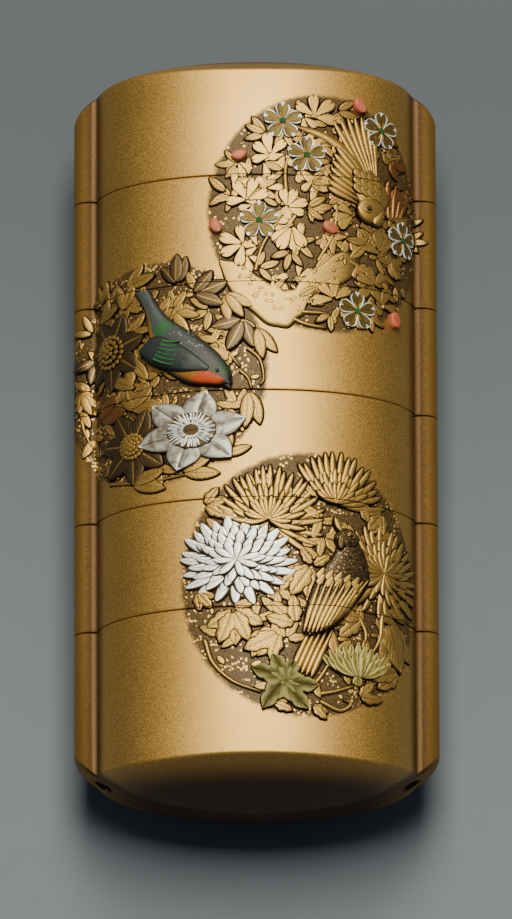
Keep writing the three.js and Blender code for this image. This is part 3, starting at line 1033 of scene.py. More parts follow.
@dataclass(frozen=True)
class ReliefLacquer:
    """Raised lacquer in gold, pewter grey or reddish gold, with dark lacquer and painted shade at
    its foot and edges.
    """

    gold: Colour = (0.50, 0.315, 0.090)
    pewter: Colour = (0.105, 0.070, 0.036)
    warm: Colour = (0.29, 0.096, 0.028)
    # Dark of the grain and cut lines, and of the edges and foot, where it is partly painted shade.
    dark: Colour = (0.018, 0.010, 0.006)
    lines: float = 60.0
    grain_mm: float = 0.14
    cloud_mm: float = 3.0
    feather_mm: float = 0.5

    def material(self, groups: Groups) -> Material:
        """Builds the finish of the raised pictures, which reads the tint and the blades' UV map.

        Args:
            groups: The shared node groups.

        Returns:
            The material.
        """
        material, w, shader = new_finish("relief_lacquer", Metallic=0.85, Coat_Weight=0.1)
        powder = w.node("Group", {
            "Vector": w.where(), "Grains": 1 / (self.grain_mm * MM),
            "Clouds": 1 / (self.cloud_mm * MM)}, node_tree=groups.powder)
        veins = w.node("Group", {"Vector": w.flat(), "Lines": self.lines}, node_tree=groups.veins)
        tint = w.node("Attribute", attribute_name="tint")
        split = w.node("SeparateColor", {"Color": tint.outputs["Color"]})
        outline, pewter, warm = (split.outputs[name] for name in ("Red", "Green", "Blue"))
        base = w.mix(pewter, self.gold, self.pewter)
        base = w.mix(warm, base, self.warm)
        base = w.mix(w.scaled(powder.outputs["Grain"], -0.35, 0.35), base, self.dark)
        cut = w.times(veins.outputs["Lines"], tint.outputs["Alpha"])
        feather = w.smooth(tint.outputs["Alpha"], 0.6, 0.75)
        gilded = w.times(veins.outputs["Midrib"], w.times(pewter, w.rest(feather)))
        base = w.mix(w.times(gilded, 0.8), base, self.gold)
        small = w.node("Group", {"Vector": w.where(), "Scale": 1 / (self.feather_mm * MM)},
                       node_tree=groups.feathers)
        veined = w.rest(feather)
        midrib = w.times(veins.outputs["Midrib"], tint.outputs["Alpha"])
        plain = w.times(midrib, w.rest(pewter))
        leaf_cut = w.times(w.math("MAXIMUM", cut, plain), veined)
        down = w.times(feather, pewter)
        engraved = w.math("MAXIMUM", leaf_cut, w.times(small.outputs["Gap"], down))
        base = w.mix(w.times(small.outputs["Tip"], w.times(down, 0.45)), base, self.gold)
        base = w.mix(w.times(engraved, 0.75), base, self.dark)
        # A dark edge with painted shade on the outer fifth of each blade, to its sides and tip.
        base = w.mix(w.times(w.smooth(veins.outputs["Rim"], 0.8, 1.0), 0.8), base, self.dark)
        # A dark outline with painted shadow on the flange and skirt round each patch's foot.
        base = w.mix(w.smooth(outline, 0.15, 0.6), base, self.dark)
        w.feed(shader, "Base Color", base)
        rough = w.scaled(powder.outputs["Grain"], 0.12, 0.38)
        w.feed(shader, "Roughness", rough)
        height = w.math("SUBTRACT", powder.outputs["Height"], w.times(engraved, 1.6))
        w.bump(shader, height, 0.05, 0.6)
        return material


@dataclass(frozen=True)
class Shell:
    """White shell with a faint rainbow, brown between its petals, painted shade down their sides
    and at their foot, and a gold heart.
    """

    white: Colour = (0.84, 0.90, 0.99)
    pink: Colour = (0.66, 0.60, 0.58)
    green: Colour = (0.58, 0.68, 0.70)
    # Brown of the midribs and outlines, also used for the painted shade on the petals' sides and
    # foot.
    between: Colour = (0.035, 0.020, 0.010)
    gold: Colour = (0.36, 0.21, 0.045)
    tinge: Colour = (0.10, 0.072, 0.042)
    rim_from: float = 0.8
    # Painted shade: a petal darkens from this share of the way across to its side.
    shade_from: float = 0.68
    inside: float = 0.9

    def material(self, name: str, groups: Groups) -> Material:
        """Builds the finish.

        Args:
            name: The material's name.
            groups: The shared node groups.

        Returns:
            The material. The tint's third channel marks the gold heart.
        """
        material, w, shader = new_finish(name, Roughness=0.42, Specular_IOR_Level=0.15)
        where = w.where()
        layers = w.node("TexNoise", {"Vector": where, "Scale": 420.0, "Detail": 4.0,
                                     "Distortion": 1.5}).outputs["Fac"]
        base = w.ramp(layers, [(0.30, self.green), (0.47, self.white), (0.58, self.white),
                               (0.72, self.pink)])
        flat = w.flat()
        veins = w.node("Group", {"Vector": flat, "Lines": 30.0}, node_tree=groups.veins)
        along = w.node("SeparateXYZ", {"Vector": flat})
        rim = veins.outputs["Rim"]
        cloud = w.smooth(layers, 0.42, 0.6)
        hollow = w.fall(rim, self.rim_from, self.rim_from + 0.1)
        stain = w.times(hollow, w.scaled(cloud, 0.35, 0.65))
        base = w.mix(w.times(stain, self.inside), base, self.tinge)
        near = w.fall(along.outputs["X"], 0.0, 0.45)
        base = w.mix(w.times(near, 0.45), base, self.gold)
        base = w.mix(w.times(veins.outputs["Midrib"], 0.7), base, self.between)
        across = w.math("ABSOLUTE", along.outputs["Y"])
        # Painted shade down each petal's sides.
        base = w.mix(w.smooth(across, self.shade_from, self.shade_from + 0.3), base, self.between)
        tint = w.tint()
        base = w.mix(tint.outputs["Blue"], base, self.gold)
        # A dark outline with painted shadow round each petal's foot.
        base = w.mix(w.smooth(tint.outputs["Red"], 0.15, 0.6), base, self.between)
        w.feed(shader, "Base Color", base)
        w.feed(shader, "Metallic", w.scaled(tint.outputs["Blue"], 0.5, 0.35))
        w.bump(shader, layers, 0.04, 0.4)
        return material


@dataclass(frozen=True)
class Coral:
    """Polished pink coral with paler clouds."""

    pink: Colour = (0.36, 0.070, 0.038)
    pale: Colour = (0.47, 0.16, 0.10)

    def material(self) -> Material:
        """Builds the finish."""
        material, w, shader = new_finish("coral", Roughness=0.42, Specular_IOR_Level=0.3)
        cloud = w.node("TexNoise", {"Vector": w.where(), "Scale": 900.0,
                                    "Detail": 3.0}).outputs["Fac"]
        w.feed(shader, "Base Color", w.mix(w.smooth(cloud, 0.35, 0.7), self.pink, self.pale))
        w.bump(shader, cloud, 0.03, 0.3)
        return material


@dataclass(frozen=True)
class StainedGreen:
    """Yellow-green stained inlay, paler at the rims, brown in the cuts, with a dark edge and
    painted shade at its sides and foot.
    """

    green: Colour = (0.070, 0.064, 0.014)
    pale: Colour = (0.30, 0.27, 0.10)
    # Brown of the cuts, also of the dark edge and outline with painted shade.
    cut: Colour = (0.022, 0.020, 0.008)

    def material(self, name: str, groups: Groups) -> Material:
        """Builds the finish.

        Args:
            name: The material's name.
            groups: The shared node groups.

        Returns:
            The material.
        """
        material, w, shader = new_finish(name, Roughness=0.5, Specular_IOR_Level=0.1)
        where = w.where()
        flat = w.flat()
        cloud = w.node("TexNoise", {"Vector": where, "Scale": 500.0, "Detail": 4.0}).outputs["Fac"]
        across = w.math("ABSOLUTE", w.node("SeparateXYZ", {"Vector": flat}).outputs["Y"])
        rim = w.scaled(w.smooth(across, 0.2, 1.0), 0.55, cloud)
        base = w.mix(w.smooth(rim, 0.4, 1.0), self.green, self.pale)
        veins = w.node("Group", {"Vector": flat, "Lines": 26.0}, node_tree=groups.veins)
        cuts = w.math("MAXIMUM", veins.outputs["Midrib"], w.times(veins.outputs["Lines"], 0.5))
        base = w.mix(w.times(cuts, 0.85), base, self.cut)
        # A dark edge with painted shade along each blade's sides.
        base = w.mix(w.smooth(across, 0.82, 1.0), base, self.cut)
        tint = w.tint()
        # A dark outline with painted shadow round each patch's foot.
        base = w.mix(w.smooth(tint.outputs["Red"], 0.3, 0.9), base, self.cut)
        w.feed(shader, "Base Color", base)
        w.bump(shader, w.math("SUBTRACT", cloud, cuts), 0.05, 0.5)
        return material


@dataclass(frozen=True)
class Plumage:
    """A small bird's stained colours, from its tail at 0 to its bill at 1."""

    tail: Colour = (0.048, 0.064, 0.074)
    rump: Colour = (0.020, 0.096, 0.036)
    back: Colour = (0.038, 0.046, 0.056)
    head: Colour = (0.014, 0.050, 0.028)
    bill: Colour = (0.010, 0.009, 0.009)
    flank: Colour = (0.25, 0.12, 0.014)
    breast: Colour = (0.50, 0.060, 0.009)
    speck: Colour = (0.22, 0.26, 0.26)
    # Dark of the feather cuts, and of the dark edge and outline with painted shade.
    dark: Colour = (0.014, 0.016, 0.018)
    feather_mm: float = 0.42
    speck_mm: float = 0.55

    def material(self, groups: Groups) -> Material:
        """Builds the finish. Its UV map runs along the bird, and across from belly to back.

        Args:
            groups: The shared node groups.

        Returns:
            The material.
        """
        material, w, shader = new_finish("plumage", Roughness=0.42, Specular_IOR_Level=0.25)
        flat = w.flat()
        where = w.where()
        split = w.node("SeparateXYZ", {"Vector": flat})
        along, across = split.outputs["X"], split.outputs["Y"]
        upper = w.ramp(along, [(0.0, self.tail), (0.24, self.tail), (0.33, self.rump),
                               (0.42, self.back), (0.72, self.back), (0.82, self.head),
                               (0.95, self.bill)])
        lower = w.ramp(along, [(0.0, self.tail), (0.3, self.flank), (0.68, self.flank),
                               (0.76, self.breast), (0.86, self.breast), (0.95, self.bill)])
        noise = w.node("TexNoise", {"Vector": where, "Scale": 700.0, "Detail": 3.0}).outputs["Fac"]
        edge = w.scaled(noise, 0.25, across)
        edge = w.math("SUBTRACT", edge, w.times(w.smooth(along, 0.58, 0.74), 0.35))
        base = w.mix(w.smooth(edge, -0.45, -0.2), lower, upper)
        small = w.node("Group", {"Vector": where, "Scale": 1 / (self.feather_mm * MM)},
                       node_tree=groups.feathers)
        cut = w.times(small.outputs["Gap"], 0.35)
        base = w.mix(cut, base, self.dark)
        # A dark edge with painted shade along both sides of the bird.
        base = w.mix(w.smooth(w.math("ABSOLUTE", across), 0.7, 1.0), base, self.dark)
        specks = w.node("TexVoronoi", {"Vector": where, "Scale": 1 / (self.speck_mm * MM)})
        speck = w.fall(specks.outputs["Distance"], 0.16, 0.3)
        middle = w.times(w.smooth(along, 0.38, 0.44), w.fall(along, 0.58, 0.68))
        on_back = w.times(middle, w.smooth(across, -0.25, 0.0))
        base = w.mix(w.times(speck, w.times(on_back, 0.8)), base, self.speck)
        tint = w.tint()
        # A dark outline with painted shadow round the foot.
        base = w.mix(w.smooth(tint.outputs["Red"], 0.3, 0.9), base, self.dark)
        w.feed(shader, "Base Color", base)
        w.bump(shader, w.math("SUBTRACT", noise, cut), 0.06, 0.5)
        return material


# ---- the six shells ----
class Role(Enum):
    """Which of the stacked shells a piece is."""

    LID = "lid"
    MIDDLE = "middle"
    BOTTOM = "bottom"


@dataclass
class StackedShell:
    """One lid or case: a hollow shell on the box's section, with a lip, a foot or both."""

    name: str
    role: Role
    bevel: float = 0.09
    support: float = 0.45
    fillet: float = 0.3
    dome_rise: float = 4.0
    dome_radius: float = 20.6
    dome_fall: float = 9.57
    dome_half_width: float = 23.5
    dome_power: float = 2.2
    dome_wall: float = 1.8
    lip: tuple[float, float] = (17.1, 10.75)
    lip_height: float = 3.3
    foot: tuple[float, float] = (17.35, 11.0)
    foot_depth: float = 3.6
    cavity: tuple[float, float] = (16.2, 9.85)
    floor: float = 1.2
    channel_x: float = 19.25
    channel_radius: float = 1.15

    def __post_init__(self) -> None:
        """Takes the shell's two ends from its solid's box."""
        low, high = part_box(self.name)
        self.low, self.high = low[1] / MM, high[1] / MM
        if self.role is Role.LID:
            self.high -= self.dome_rise
        else:
            self.high -= self.lip_height
        if self.role is Role.BOTTOM:
            self.low += self.dome_rise
        self.stations = SECTION.stations()

    def dome(self, x: np.ndarray, z: np.ndarray) -> np.ndarray:
        """Height of an end's dome over its rim: its rise, less a superellipse's fall along the
        width, less a circle's fall along the depth."""
        inside = np.maximum(0, 1 - np.abs(x / self.dome_half_width) ** self.dome_power)
        width = self.dome_fall * (1 - inside ** (1 / self.dome_power))
        depth = self.dome_radius - np.sqrt(self.dome_radius ** 2 - z ** 2)
        return self.dome_rise - width - depth

    def outer(self, y: float, inset: float = 0.0) -> np.ndarray:
        """A ring of the outer section, inset along its normals."""
        return SECTION.place(self.stations, y, -inset)

    def inner(self, y: float, halves: tuple[float, float], scale: float = 1.0) -> np.ndarray:
        """A ring of an inner superellipse: each outer point's ray from the axis cut at radius
        (|x / half width| ^ power + |z / half depth| ^ power) ^ (-1 / power).

        Args:
            y: The ring's height.
            halves: Half its width and half its depth.
            scale: Share of that size.

        Returns:
            The ring's points.
        """
        ring = SECTION.place(self.stations, y, 0.0)
        x, z = ring[:, 0], ring[:, 2] - SECTION.axis_z
        length = np.hypot(x, z)
        x, z = x / length, z / length
        power = SECTION.power
        reach = (np.abs(x / halves[0]) ** power + np.abs(z / halves[1]) ** power) ** (-1 / power)
        reach *= scale
        return np.stack([reach * x, np.full(len(x), y), reach * z + SECTION.axis_z], -1)

    def domed(self, ring: np.ndarray, side: int, less: float = 0.0) -> np.ndarray:
        """Moves a ring along Y onto an end's dome, less a wall's thickness."""
        rim = self.high if side > 0 else self.low
        over = self.dome(ring[:, 0], ring[:, 2] - SECTION.axis_z)
        ring = ring.copy()
        ring[:, 1] = rim + side * (over - less)
        return ring

    def cap(self, side: int) -> list[np.ndarray]:
        """Rings of a domed end, from its fillet to near its pole.

        Args:
            side: 1 at the top, -1 at the bottom.

        Returns:
            The rings.
        """
        rings = []
        for turn in np.linspace(0, math.pi / 2, 5):
            ring = self.domed(self.outer(0.0, self.fillet * (1 - math.cos(turn))), side)
            ring[:, 1] -= side * self.fillet * (1 - math.sin(turn))
            rings.append(ring)
        edge = self.outer(0.0, self.fillet)
        for scale in (0.97, 0.92, 0.85, 0.76, 0.66, 0.55, 0.43, 0.3, 0.16, 0.05):
            ring = edge.copy()
            ring[:, 0] *= scale
            ring[:, 2] = (ring[:, 2] - SECTION.axis_z) * scale + SECTION.axis_z
            rings.append(self.domed(ring, side))
        return rings

    def rings(self) -> list[np.ndarray]:
        """Rings of the whole skin, from the middle of its inside to the middle of its outside."""
        fade = (0.05, 0.4, 0.75, 0.94)
        rings = []
        if self.role is Role.LID:
            rings += [self.domed(self.inner(0, self.cavity, share), 1, self.dome_wall)
                      for share in (*fade, 1.0)]
            rings += [self.inner(self.low + self.foot_depth, self.cavity),
                      self.inner(self.low + self.foot_depth, self.foot),
                      self.inner(self.low, self.foot)]
            rings += self.edge(self.low, 1) + self.cap(1)
            return rings
        bottom = self.role is Role.BOTTOM
        floor = self.low + self.foot_depth + self.floor
        for scale in (*fade, 1.0):
            ring = self.inner(floor, self.cavity, scale)
            rings.append(self.domed(ring, -1, self.dome_wall) if bottom else ring)
        top = self.high + self.lip_height
        rings += [self.inner(top, self.cavity), self.inner(top, self.lip),
                  self.inner(self.high, self.lip)]
        rings += self.edge(self.high, -1)
        if bottom:
            return rings + self.cap(-1)
        rings += self.edge(self.low, 1)[::-1]
        roof = self.low + self.foot_depth
        rings += [self.inner(self.low, self.foot), self.inner(roof, self.foot)]
        return rings + [self.inner(roof, self.foot, share) for share in (0.75, 0.4, 0.05)]

    def edge(self, y: float, side: int) -> list[np.ndarray]:
        """A small bevel from a flat end onto the wall, with a ring beyond it to hold it."""
        turn = 0.3 * self.bevel
        return [self.outer(y, self.bevel), self.outer(y + side * turn, turn),
                self.outer(y + side * self.bevel), self.outer(y + side * self.support)]

    def mesh(self) -> bpy.types.Object:
        """Joins the rings with quads, closes both poles, and cuts the two cord channels."""
        rings = self.rings()
        size = len(self.stations)
        poles = [rings[0].mean(axis=0), rings[-1].mean(axis=0)]
        points = np.concatenate([*rings, poles])
        grid = np.arange(len(rings) * size).reshape(len(rings), size)
        after = np.roll(grid, -1, axis=1)
        quads = np.stack([grid[:-1], grid[1:], after[1:], after[:-1]], -1).reshape(-1, 4)
        first, last = len(points) - 2, len(points) - 1
        fans = np.concatenate([
            np.stack([np.full(size, first), grid[0], after[0]], -1),
            np.stack([np.full(size, last), after[-1], grid[-1]], -1)])
        if signed_volume(points, quads, fans) < 0:
            quads, fans = quads[:, ::-1], fans[:, ::-1]
        u = np.concatenate([np.tile(self.stations, len(rings)), [0, 0]])
        parts = MeshParts()
        parts.add(points, [quads, fans], np.stack([u, points[:, 1]], -1) * UV_MM)
        piece = parts.build(self.name + "_shell", 4 * SECTION.side_u * UV_MM)
        return self.bored(piece)

    def bored(self, piece: bpy.types.Object) -> bpy.types.Object:
        """Cuts a round cord channel through each runner, and keeps the result as plain mesh.

        Args:
            piece: The shell.

        Returns:
            The same object with its new mesh.
        """
        sides, beyond = 24, 60
        drill = MeshParts()
        turn = np.linspace(0, 2 * math.pi, sides, endpoint=False)
        ring = np.arange(sides)
        after = np.roll(ring, -1)
        for x in (-self.channel_x, self.channel_x):
            circle = np.stack([x + self.channel_radius * np.cos(turn), np.zeros(sides),
                               SECTION.axis_z + self.channel_radius * np.sin(turn)], -1)
            points = np.concatenate([circle - (0, beyond, 0), circle + (0, beyond, 0)])
            faces = [np.stack([ring, ring + sides, after + sides, after], -1),
                     ring[None, :], (ring[::-1] + sides)[None, :]]
            drill.add(points, faces, np.zeros((2 * sides, 2)))
        cutter = drill.build("cutter")
        cut = piece.modifiers.new("channels", "BOOLEAN")
        cut.operation, cut.solver, cut.object = "DIFFERENCE", "MANIFOLD", cutter
        shaped = bpy.data.meshes.new_from_object(
            piece.evaluated_get(bpy.context.evaluated_depsgraph_get()))
        shaped.materials.clear()
        piece.modifiers.clear()
        piece.data = shaped
        bpy.data.objects.remove(cutter)
        return piece


def signed_volume(points: np.ndarray, quads: np.ndarray, triangles: np.ndarray) -> float:
    """Sum of the signed volumes of tetrahedra from the origin to every face."""
    split = np.concatenate([quads[:, [0, 1, 2]], quads[:, [0, 2, 3]], triangles])
    a, b, c = (points[split[:, i]] for i in range(3))
    return float(np.einsum("ij,ij->i", a, np.cross(b, c)).sum() / 6)


# ---- pictures ----
# Many of the places in the pictures' and the kingfisher's lists are a measured table's values,
# rounded to half a millimetre, and not places chosen by hand.
def place_of(node: str) -> tuple[float, float]:
    """Where a solid lies on the unrolled skin: the skin's point nearest to its box's middle.

    Args:
        node: The solid's name.

    Returns:
        Its distance u round the section, and its y.
    """
    low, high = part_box(node)
    x, y, z = ((low[axis] + high[axis]) / 2 / MM for axis in range(3))
    away = (SECTION.x - abs(x)) ** 2 + (SECTION.z + SECTION.axis_z - z) ** 2
    return math.copysign(float(SECTION.along[int(np.argmin(away))]), x), y


@dataclass
class Picture:
    """A roundel of raised lacquer, cut where the seams between the shells cross it."""

    name: str
    field: Roundel
    bare: tuple[float, float, float] = (0.0, 0.0, 0.0)

    def relief(self) -> list[Patches]:
        """The raised work, the lowest first."""
        raise NotImplementedError

    def build(self, shells: list[StackedShell], material: Material) -> None:
        """Makes one relief piece for each shell that the picture reaches.

        Args:
            shells: The stacked shells.
            material: The relief's finish.
        """
        patches = self.relief()
        for shell in shells:
            parts = MeshParts()
            for patch in patches:
                patch.into(parts, shell.low, shell.high)
            if parts.count:
                piece = parts.build(f"{self.name}_on_{shell.name}")
                cut_flat(piece, shell.low, shell.high)
                finished(piece, material, "gold_lacquer")

    def spread(self, count: int, reach: float, random: np.random.Generator) -> np.ndarray:
        """Places even by area over the field, a golden-angle spiral a little shaken, but none
        on its bare ground."""
        angle = GOLDEN_ANGLE * np.arange(count) + random.uniform(-0.3, 0.3, count)
        away = reach * np.sqrt((np.arange(count) + 0.5) / count)
        at = np.stack([self.field.u + self.field.half_wide * away * np.cos(angle),
                       self.field.y + self.field.half_high * away * np.sin(angle)], -1)
        u, y, radius = self.bare
        return at[np.hypot(at[:, 0] - u, at[:, 1] - y) > radius]

    def scattered(self, count: int, seed: int) -> Patches:
        """Small oval buds as fill."""
        random = np.random.default_rng(seed)
        at = self.spread(count, 0.93, random)
        size = 1.15 * random.uniform(0.8, 1.2, len(at))
        return Blades(at, random.uniform(0, 360, len(at)), size, 0.3 * size, Shape.OVAL,
                      height=0.16, rows=7, columns=5, flange=0.08).patches()

    def undergrowth(self, count: int, seed: int, shape: Shape, half: float, length: float,
                    tone: Tone = (0, 0, 0)) -> Patches:
        """Low fans of three below the placed sprays, each with its own facing.

        Args:
            count: How many fans.
            seed: Seed of their places and facings.
            shape: The blades' outline.
            half: Half a blade's width, as a share of its length.
            length: A blade's length.
            tone: Pewter, warm and pattern masks.

        Returns:
            The patches.
        """
        random = np.random.default_rng(seed)
        at = self.spread(count, 0.86, random)
        sprays = [Spray(u, y, facing, 3, 110, length)
                  for (u, y), facing in zip(at, random.uniform(0, 360, len(at)))]
        return fan(sprays, shape, half, seed, height=0.15, rib=0.15, rows=9, columns=7, flange=0.12,
                   tone=tone)


WARM = (0.0, 0.8, 0.0)
PEWTER = (1.0, 0.0, 0.3)
VEINED = (0.0, 0.0, 0.5)
FEATHER = (0.0, 0.0, 0.8)
GREY_FEATHER = (1.0, 0.0, 0.8)


@dataclass
class CherryPicture(Picture):
    """A cherry tree with gold blossom, and a gold bird that flies down through it."""

    def relief(self) -> list[Patches]:
        """The raised work, the lowest first."""
        return [self.undergrowth(58, 12, Shape.NOTCHED, 0.32, 2.1),
                self.undergrowth(44, 13, Shape.POINTED, 0.2, 2.4, VEINED), self.scattered(50, 11),
                *self.tree(), *self.leaves(), *self.blossom(), *self.bird()]

    def tree(self) -> list[Patches]:
        """The trunk between its upper and lower edge, and its twigs."""
        trunk = between(
            [(-4.5, 19.5), (-3, 15.5), (0.5, 12), (4, 11), (6, 12.5), (7, 15), (11, 17),
             (13.5, 19.5)],
            [(-4.5, 20), (-2, 19.5), (1, 17.5), (3.5, 16), (5.5, 17), (8, 19.5), (11, 21.5),
             (13.5, 21)],
            0.3, 150, 15, (0, 0, 0.1), swell=0.18, ragged=0.3)
        twigs = [[(3, 13), (6, 11.5), (9, 11)], [(4.5, 13), (6.5, 13), (9, 13)],
                 [(8, 20), (10, 24), (10.5, 28)], [(0, 18.5), (1, 22), (3.5, 26)],
                 [(12, 20.5), (15, 19), (18, 18)], [(4, 28), (4, 33), (6.5, 38)]]
        random = np.random.default_rng(14)
        flecks = 34
        spine = through([(-2.5, 18.2), (1, 14.8), (4.5, 14.2), (7.5, 17), (12, 20)],
                        np.arange(flecks) / flecks)
        bark = Blades(spine + random.uniform(-1.1, 1.1, spine.shape),
                      random.uniform(0, 360, flecks), random.uniform(0.5, 1.0, flecks), 0.17,
                      Shape.OVAL, height=0.08, base=0.28, rows=6, columns=5, flange=0.07).patches()
        return [trunk, bark, *(strand(twig, 0.3, 0.3) for twig in twigs)]

    def leaves(self) -> list[Patches]:
        """Pointed leaves in twos and threes, some of them reddish."""
        plain = [
            Spray(10.5, 40.5, 10, 2, 50, 2.7), Spray(1.5, 37, 165, 3, 60, 2.8),
            Spray(-3.5, 29, 180, 2, 75, 2.8), Spray(6.5, 27, 0, 3, 70, 2.8),
            Spray(7, 30.5, 5, 3, 80, 2.2), Spray(14.5, 23, 200, 2, 50, 3),
            Spray(4.5, 21, 250, 3, 100, 2.5), Spray(8, 16.5, 185, 2, 50, 3),
            Spray(18, 21.5, -60, 3, 50, 2.2), Spray(9.5, 13, -110, 2, 60, 2.5),
            Spray(15, 13.5, -60, 2, 50, 2.2), Spray(19, 16, 120, 2, 60, 2),
            Spray(23.5, 28, 60, 2, 60, 2), Spray(23.5, 26, -10, 3, 90, 2)]
        warm = [Spray(17, 38, -35, 2, 40, 2.6), Spray(18, 35, -35, 2, 40, 2.8),
                Spray(18.5, 31.5, -55, 2, 40, 2.5)]
        return [fan(plain, Shape.POINTED, 0.21, 21, height=0.28, rib=0.2, tone=VEINED),
                fan(warm, Shape.POINTED, 0.24, 22, height=0.32, tone=WARM)]

    def blossom(self) -> list[Patches]:
        """Gold blossoms from the side, each a fan of notched petals."""
        sprays = [
            Spray(7.5, 39.5, 65, 4, 150, 3), Spray(2, 34, 125, 4, 140, 2.7),
            Spray(-1, 28, 100, 4, 160, 2.8), Spray(4, 27, 40, 4, 130, 2.6),
            Spray(4.5, 24.5, -95, 4, 80, 3.2), Spray(-1.5, 22, 180, 4, 150, 2.9),
            Spray(10.5, 30.5, 165, 3, 75, 2.4), Spray(12.5, 26.5, 185, 3, 80, 2.5),
            Spray(16.5, 35.5, 185, 2, 50, 2.3), Spray(16.5, 22, 105, 3, 110, 2.7),
            Spray(15.5, 17.5, 135, 4, 160, 2.6), Spray(10, 15, 115, 4, 150, 2.7),
            Spray(16.5, 15, 60, 3, 120, 2.4), Spray(16, 27, -90, 3, 90, 2.2)]
        return [fan(sprays, Shape.NOTCHED, 0.31, 23, height=0.3, rim=0.9, cup=0.15)]

    def bird(self) -> list[Patches]:
        """The gold bird, head down: tail, wings, body, head, bill and eye."""
        step = np.arange(7)
        tail = Blades(np.stack([15 + 0.15 * step, 31 + 0.1 * step], -1), 122 - 5.0 * step,
                      9.5 - 0.15 * step, 0.42, Shape.FINGER, height=0.3, base=0.15, rim=0.4,
                      tone=FEATHER)
        plume = strand([(15.5, 28.5), (13, 33.5), (9.5, 36.5), (5, 38)], 1.0, 0.45, 0.6, FEATHER)
        wing = Blades(np.stack([14.5 - 0.25 * step, 31 - 0.45 * step], -1), 132 + 4.0 * step,
                      6.2 - 0.35 * step, 0.48, Shape.FINGER, height=0.3, base=0.3, rim=0.4,
                      tone=FEATHER)
        red_wing = Blades(np.stack([17 + 0.7 * step[:5], 27 + 0.2 * step[:5]], -1),
                          98 - 9.0 * step[:5], 5.5 - 0.4 * step[:5], 0.5, Shape.FINGER, height=0.3,
                          base=0.15, rim=0.4, tone=WARM)
        body = between([(13, 32), (12.5, 30.5), (13, 29), (14, 27.5)],
                       [(15, 33), (17, 31), (17.5, 29), (16.5, 27.5)], 0.6, 36, 17, FEATHER,
                       base=0.35)
        coverts = Blades([(13.4 + 0.9 * (k % 4), 31.5 - 1.0 * (k // 4) - 0.25 * (k % 4))
                          for k in range(12)], 125, 1.5, 0.5, Shape.ROUNDED, height=0.18, base=0.85,
                         flange=0.1)
        head = Blades([(13, 27.5)], 0, 3.6, 1.8, Shape.OVAL, height=0.75, base=0.4, rim=0.3,
                      rows=18, columns=13)
        bill = Blades([(16.3, 27.5)], -105, 2.2, 0.8, Shape.FINGER, height=0.6, base=0.6, bend=-0.6,
                      rim=0.3)
        ring = Blades([(13.8, 27.5)], 0, 1.1, 0.55, Shape.OVAL, height=0.2, base=1.02, flange=0.1)
        eye = Blades([(14.1, 27.5)], 0, 0.5, 0.25, Shape.OVAL, height=0.2, base=1.2, tone=PEWTER,
                     flange=0.1)
        return laid(tail, plume, wing, red_wing, body, coverts, bill, head, ring, eye)


@dataclass
class ClematisPicture(Picture):
    """Clematis in gold and pewter among leaves and tendrils."""

    def relief(self) -> list[Patches]:
        """The raised work, the lowest first."""
        return [self.undergrowth(52, 32, Shape.POINTED, 0.22, 2.8, VEINED),
                self.scattered(40, 31), *self.tendrils(), *self.leaves(),
                *self.flower(-19.5, 9.5, 5.2, 2.0), *self.flower(-16, -4, 5.2, 1.5)]

    def tendrils(self) -> list[Patches]:
        """Curling stems, each a smooth line through a few places."""
        lines = [[(-4, 12), (-5, 11), (-4.5, 10), (-3, 9.5)], [(-5, 9), (-3.5, 7.5), (-2, 5.5)],
                 [(-1, 8), (0.5, 6.5), (1, 4), (0.5, 3)], [(-2, 5), (-1, 4), (-0.5, 2.5)],
                 [(-10, 15.5), (-11, 14.5), (-11.5, 13)], [(-16, 8), (-14, 7), (-12, 5)],
                 [(-26, 2), (-25.5, 0), (-24.5, -2)], [(-20, -8), (-14, -9), (-8, -8.5)]]
        return [strand(line, 0.22, 0.28) for line in lines]

    def leaves(self) -> list[Patches]:
        """Pewter leaves with gold midribs, and gold ones."""
        pewter = [Spray(-10, 17, 95, 3, 60, 3.5), Spray(-8, 15.5, 10, 3, 60, 4),
                  Spray(-1.5, 12, -115, 3, 85, 4.2), Spray(-24, 10, -130, 2, 40, 3.2)]
        gold = [
            Spray(-4, 15.5, -50, 3, 60, 3.8), Spray(-17, 17.5, 35, 2, 35, 4),
            Spray(-17.5, 14.5, 80, 2, 40, 3.6), Spray(-10.5, 13.5, -40, 2, 40, 3.8),
            Spray(0, 11, -68, 2, 25, 4.5), Spray(-1, 2.5, -78, 2, 20, 4.8),
            Spray(-21.5, 14, 50, 2, 30, 3.2), Spray(-16, 11.5, 30, 2, 50, 2.8),
            Spray(-20, 6, -28, 1, 0, 4.6), Spray(-16.5, 8.5, -75, 2, 30, 4.4),
            Spray(-16.5, 1, 20, 2, 40, 4.2), Spray(-16.5, -9, 5, 2, 25, 4.5),
            Spray(-9.5, -8.5, 15, 2, 35, 4.6), Spray(-4, -6.5, 45, 2, 40, 3.6),
            Spray(-26, 5.5, -70, 3, 60, 2.8), Spray(-21.5, 16.5, 110, 3, 90, 2.8),
            Spray(-24.5, 13.5, 150, 2, 60, 2.8)]
        warm = [Spray(-22, 1, 22, 2, 30, 4.6)]
        return [fan(pewter, Shape.POINTED, 0.24, 41, height=0.34, tone=PEWTER),
                fan(gold, Shape.POINTED, 0.2, 42, height=0.34, tone=VEINED),
                fan(warm, Shape.POINTED, 0.26, 43, height=0.34, tone=WARM)]

    def flower(self, u: float, y: float, radius: float, ball: float) -> list[Patches]:
        """A gold clematis: seven pointed petals about a ball of stamens.

        Args:
            u: The centre's distance round the section.
            y: The centre's height.
            radius: Reach of the petals.
            ball: Radius of the stamens.

        Returns:
            The patches.
        """
        directions = 15 + 360 / 7 * np.arange(7)
        petals = Blades(np.tile([u, y], (7, 1)), directions, radius, 0.3 * radius, Shape.POINTED,
                        height=0.4, base=0.12, rib=0.15, tone=PEWTER, rows=18, columns=13).patches()
        return [petals, beads(u, y, ball, 0.34, 3, 0.4)]


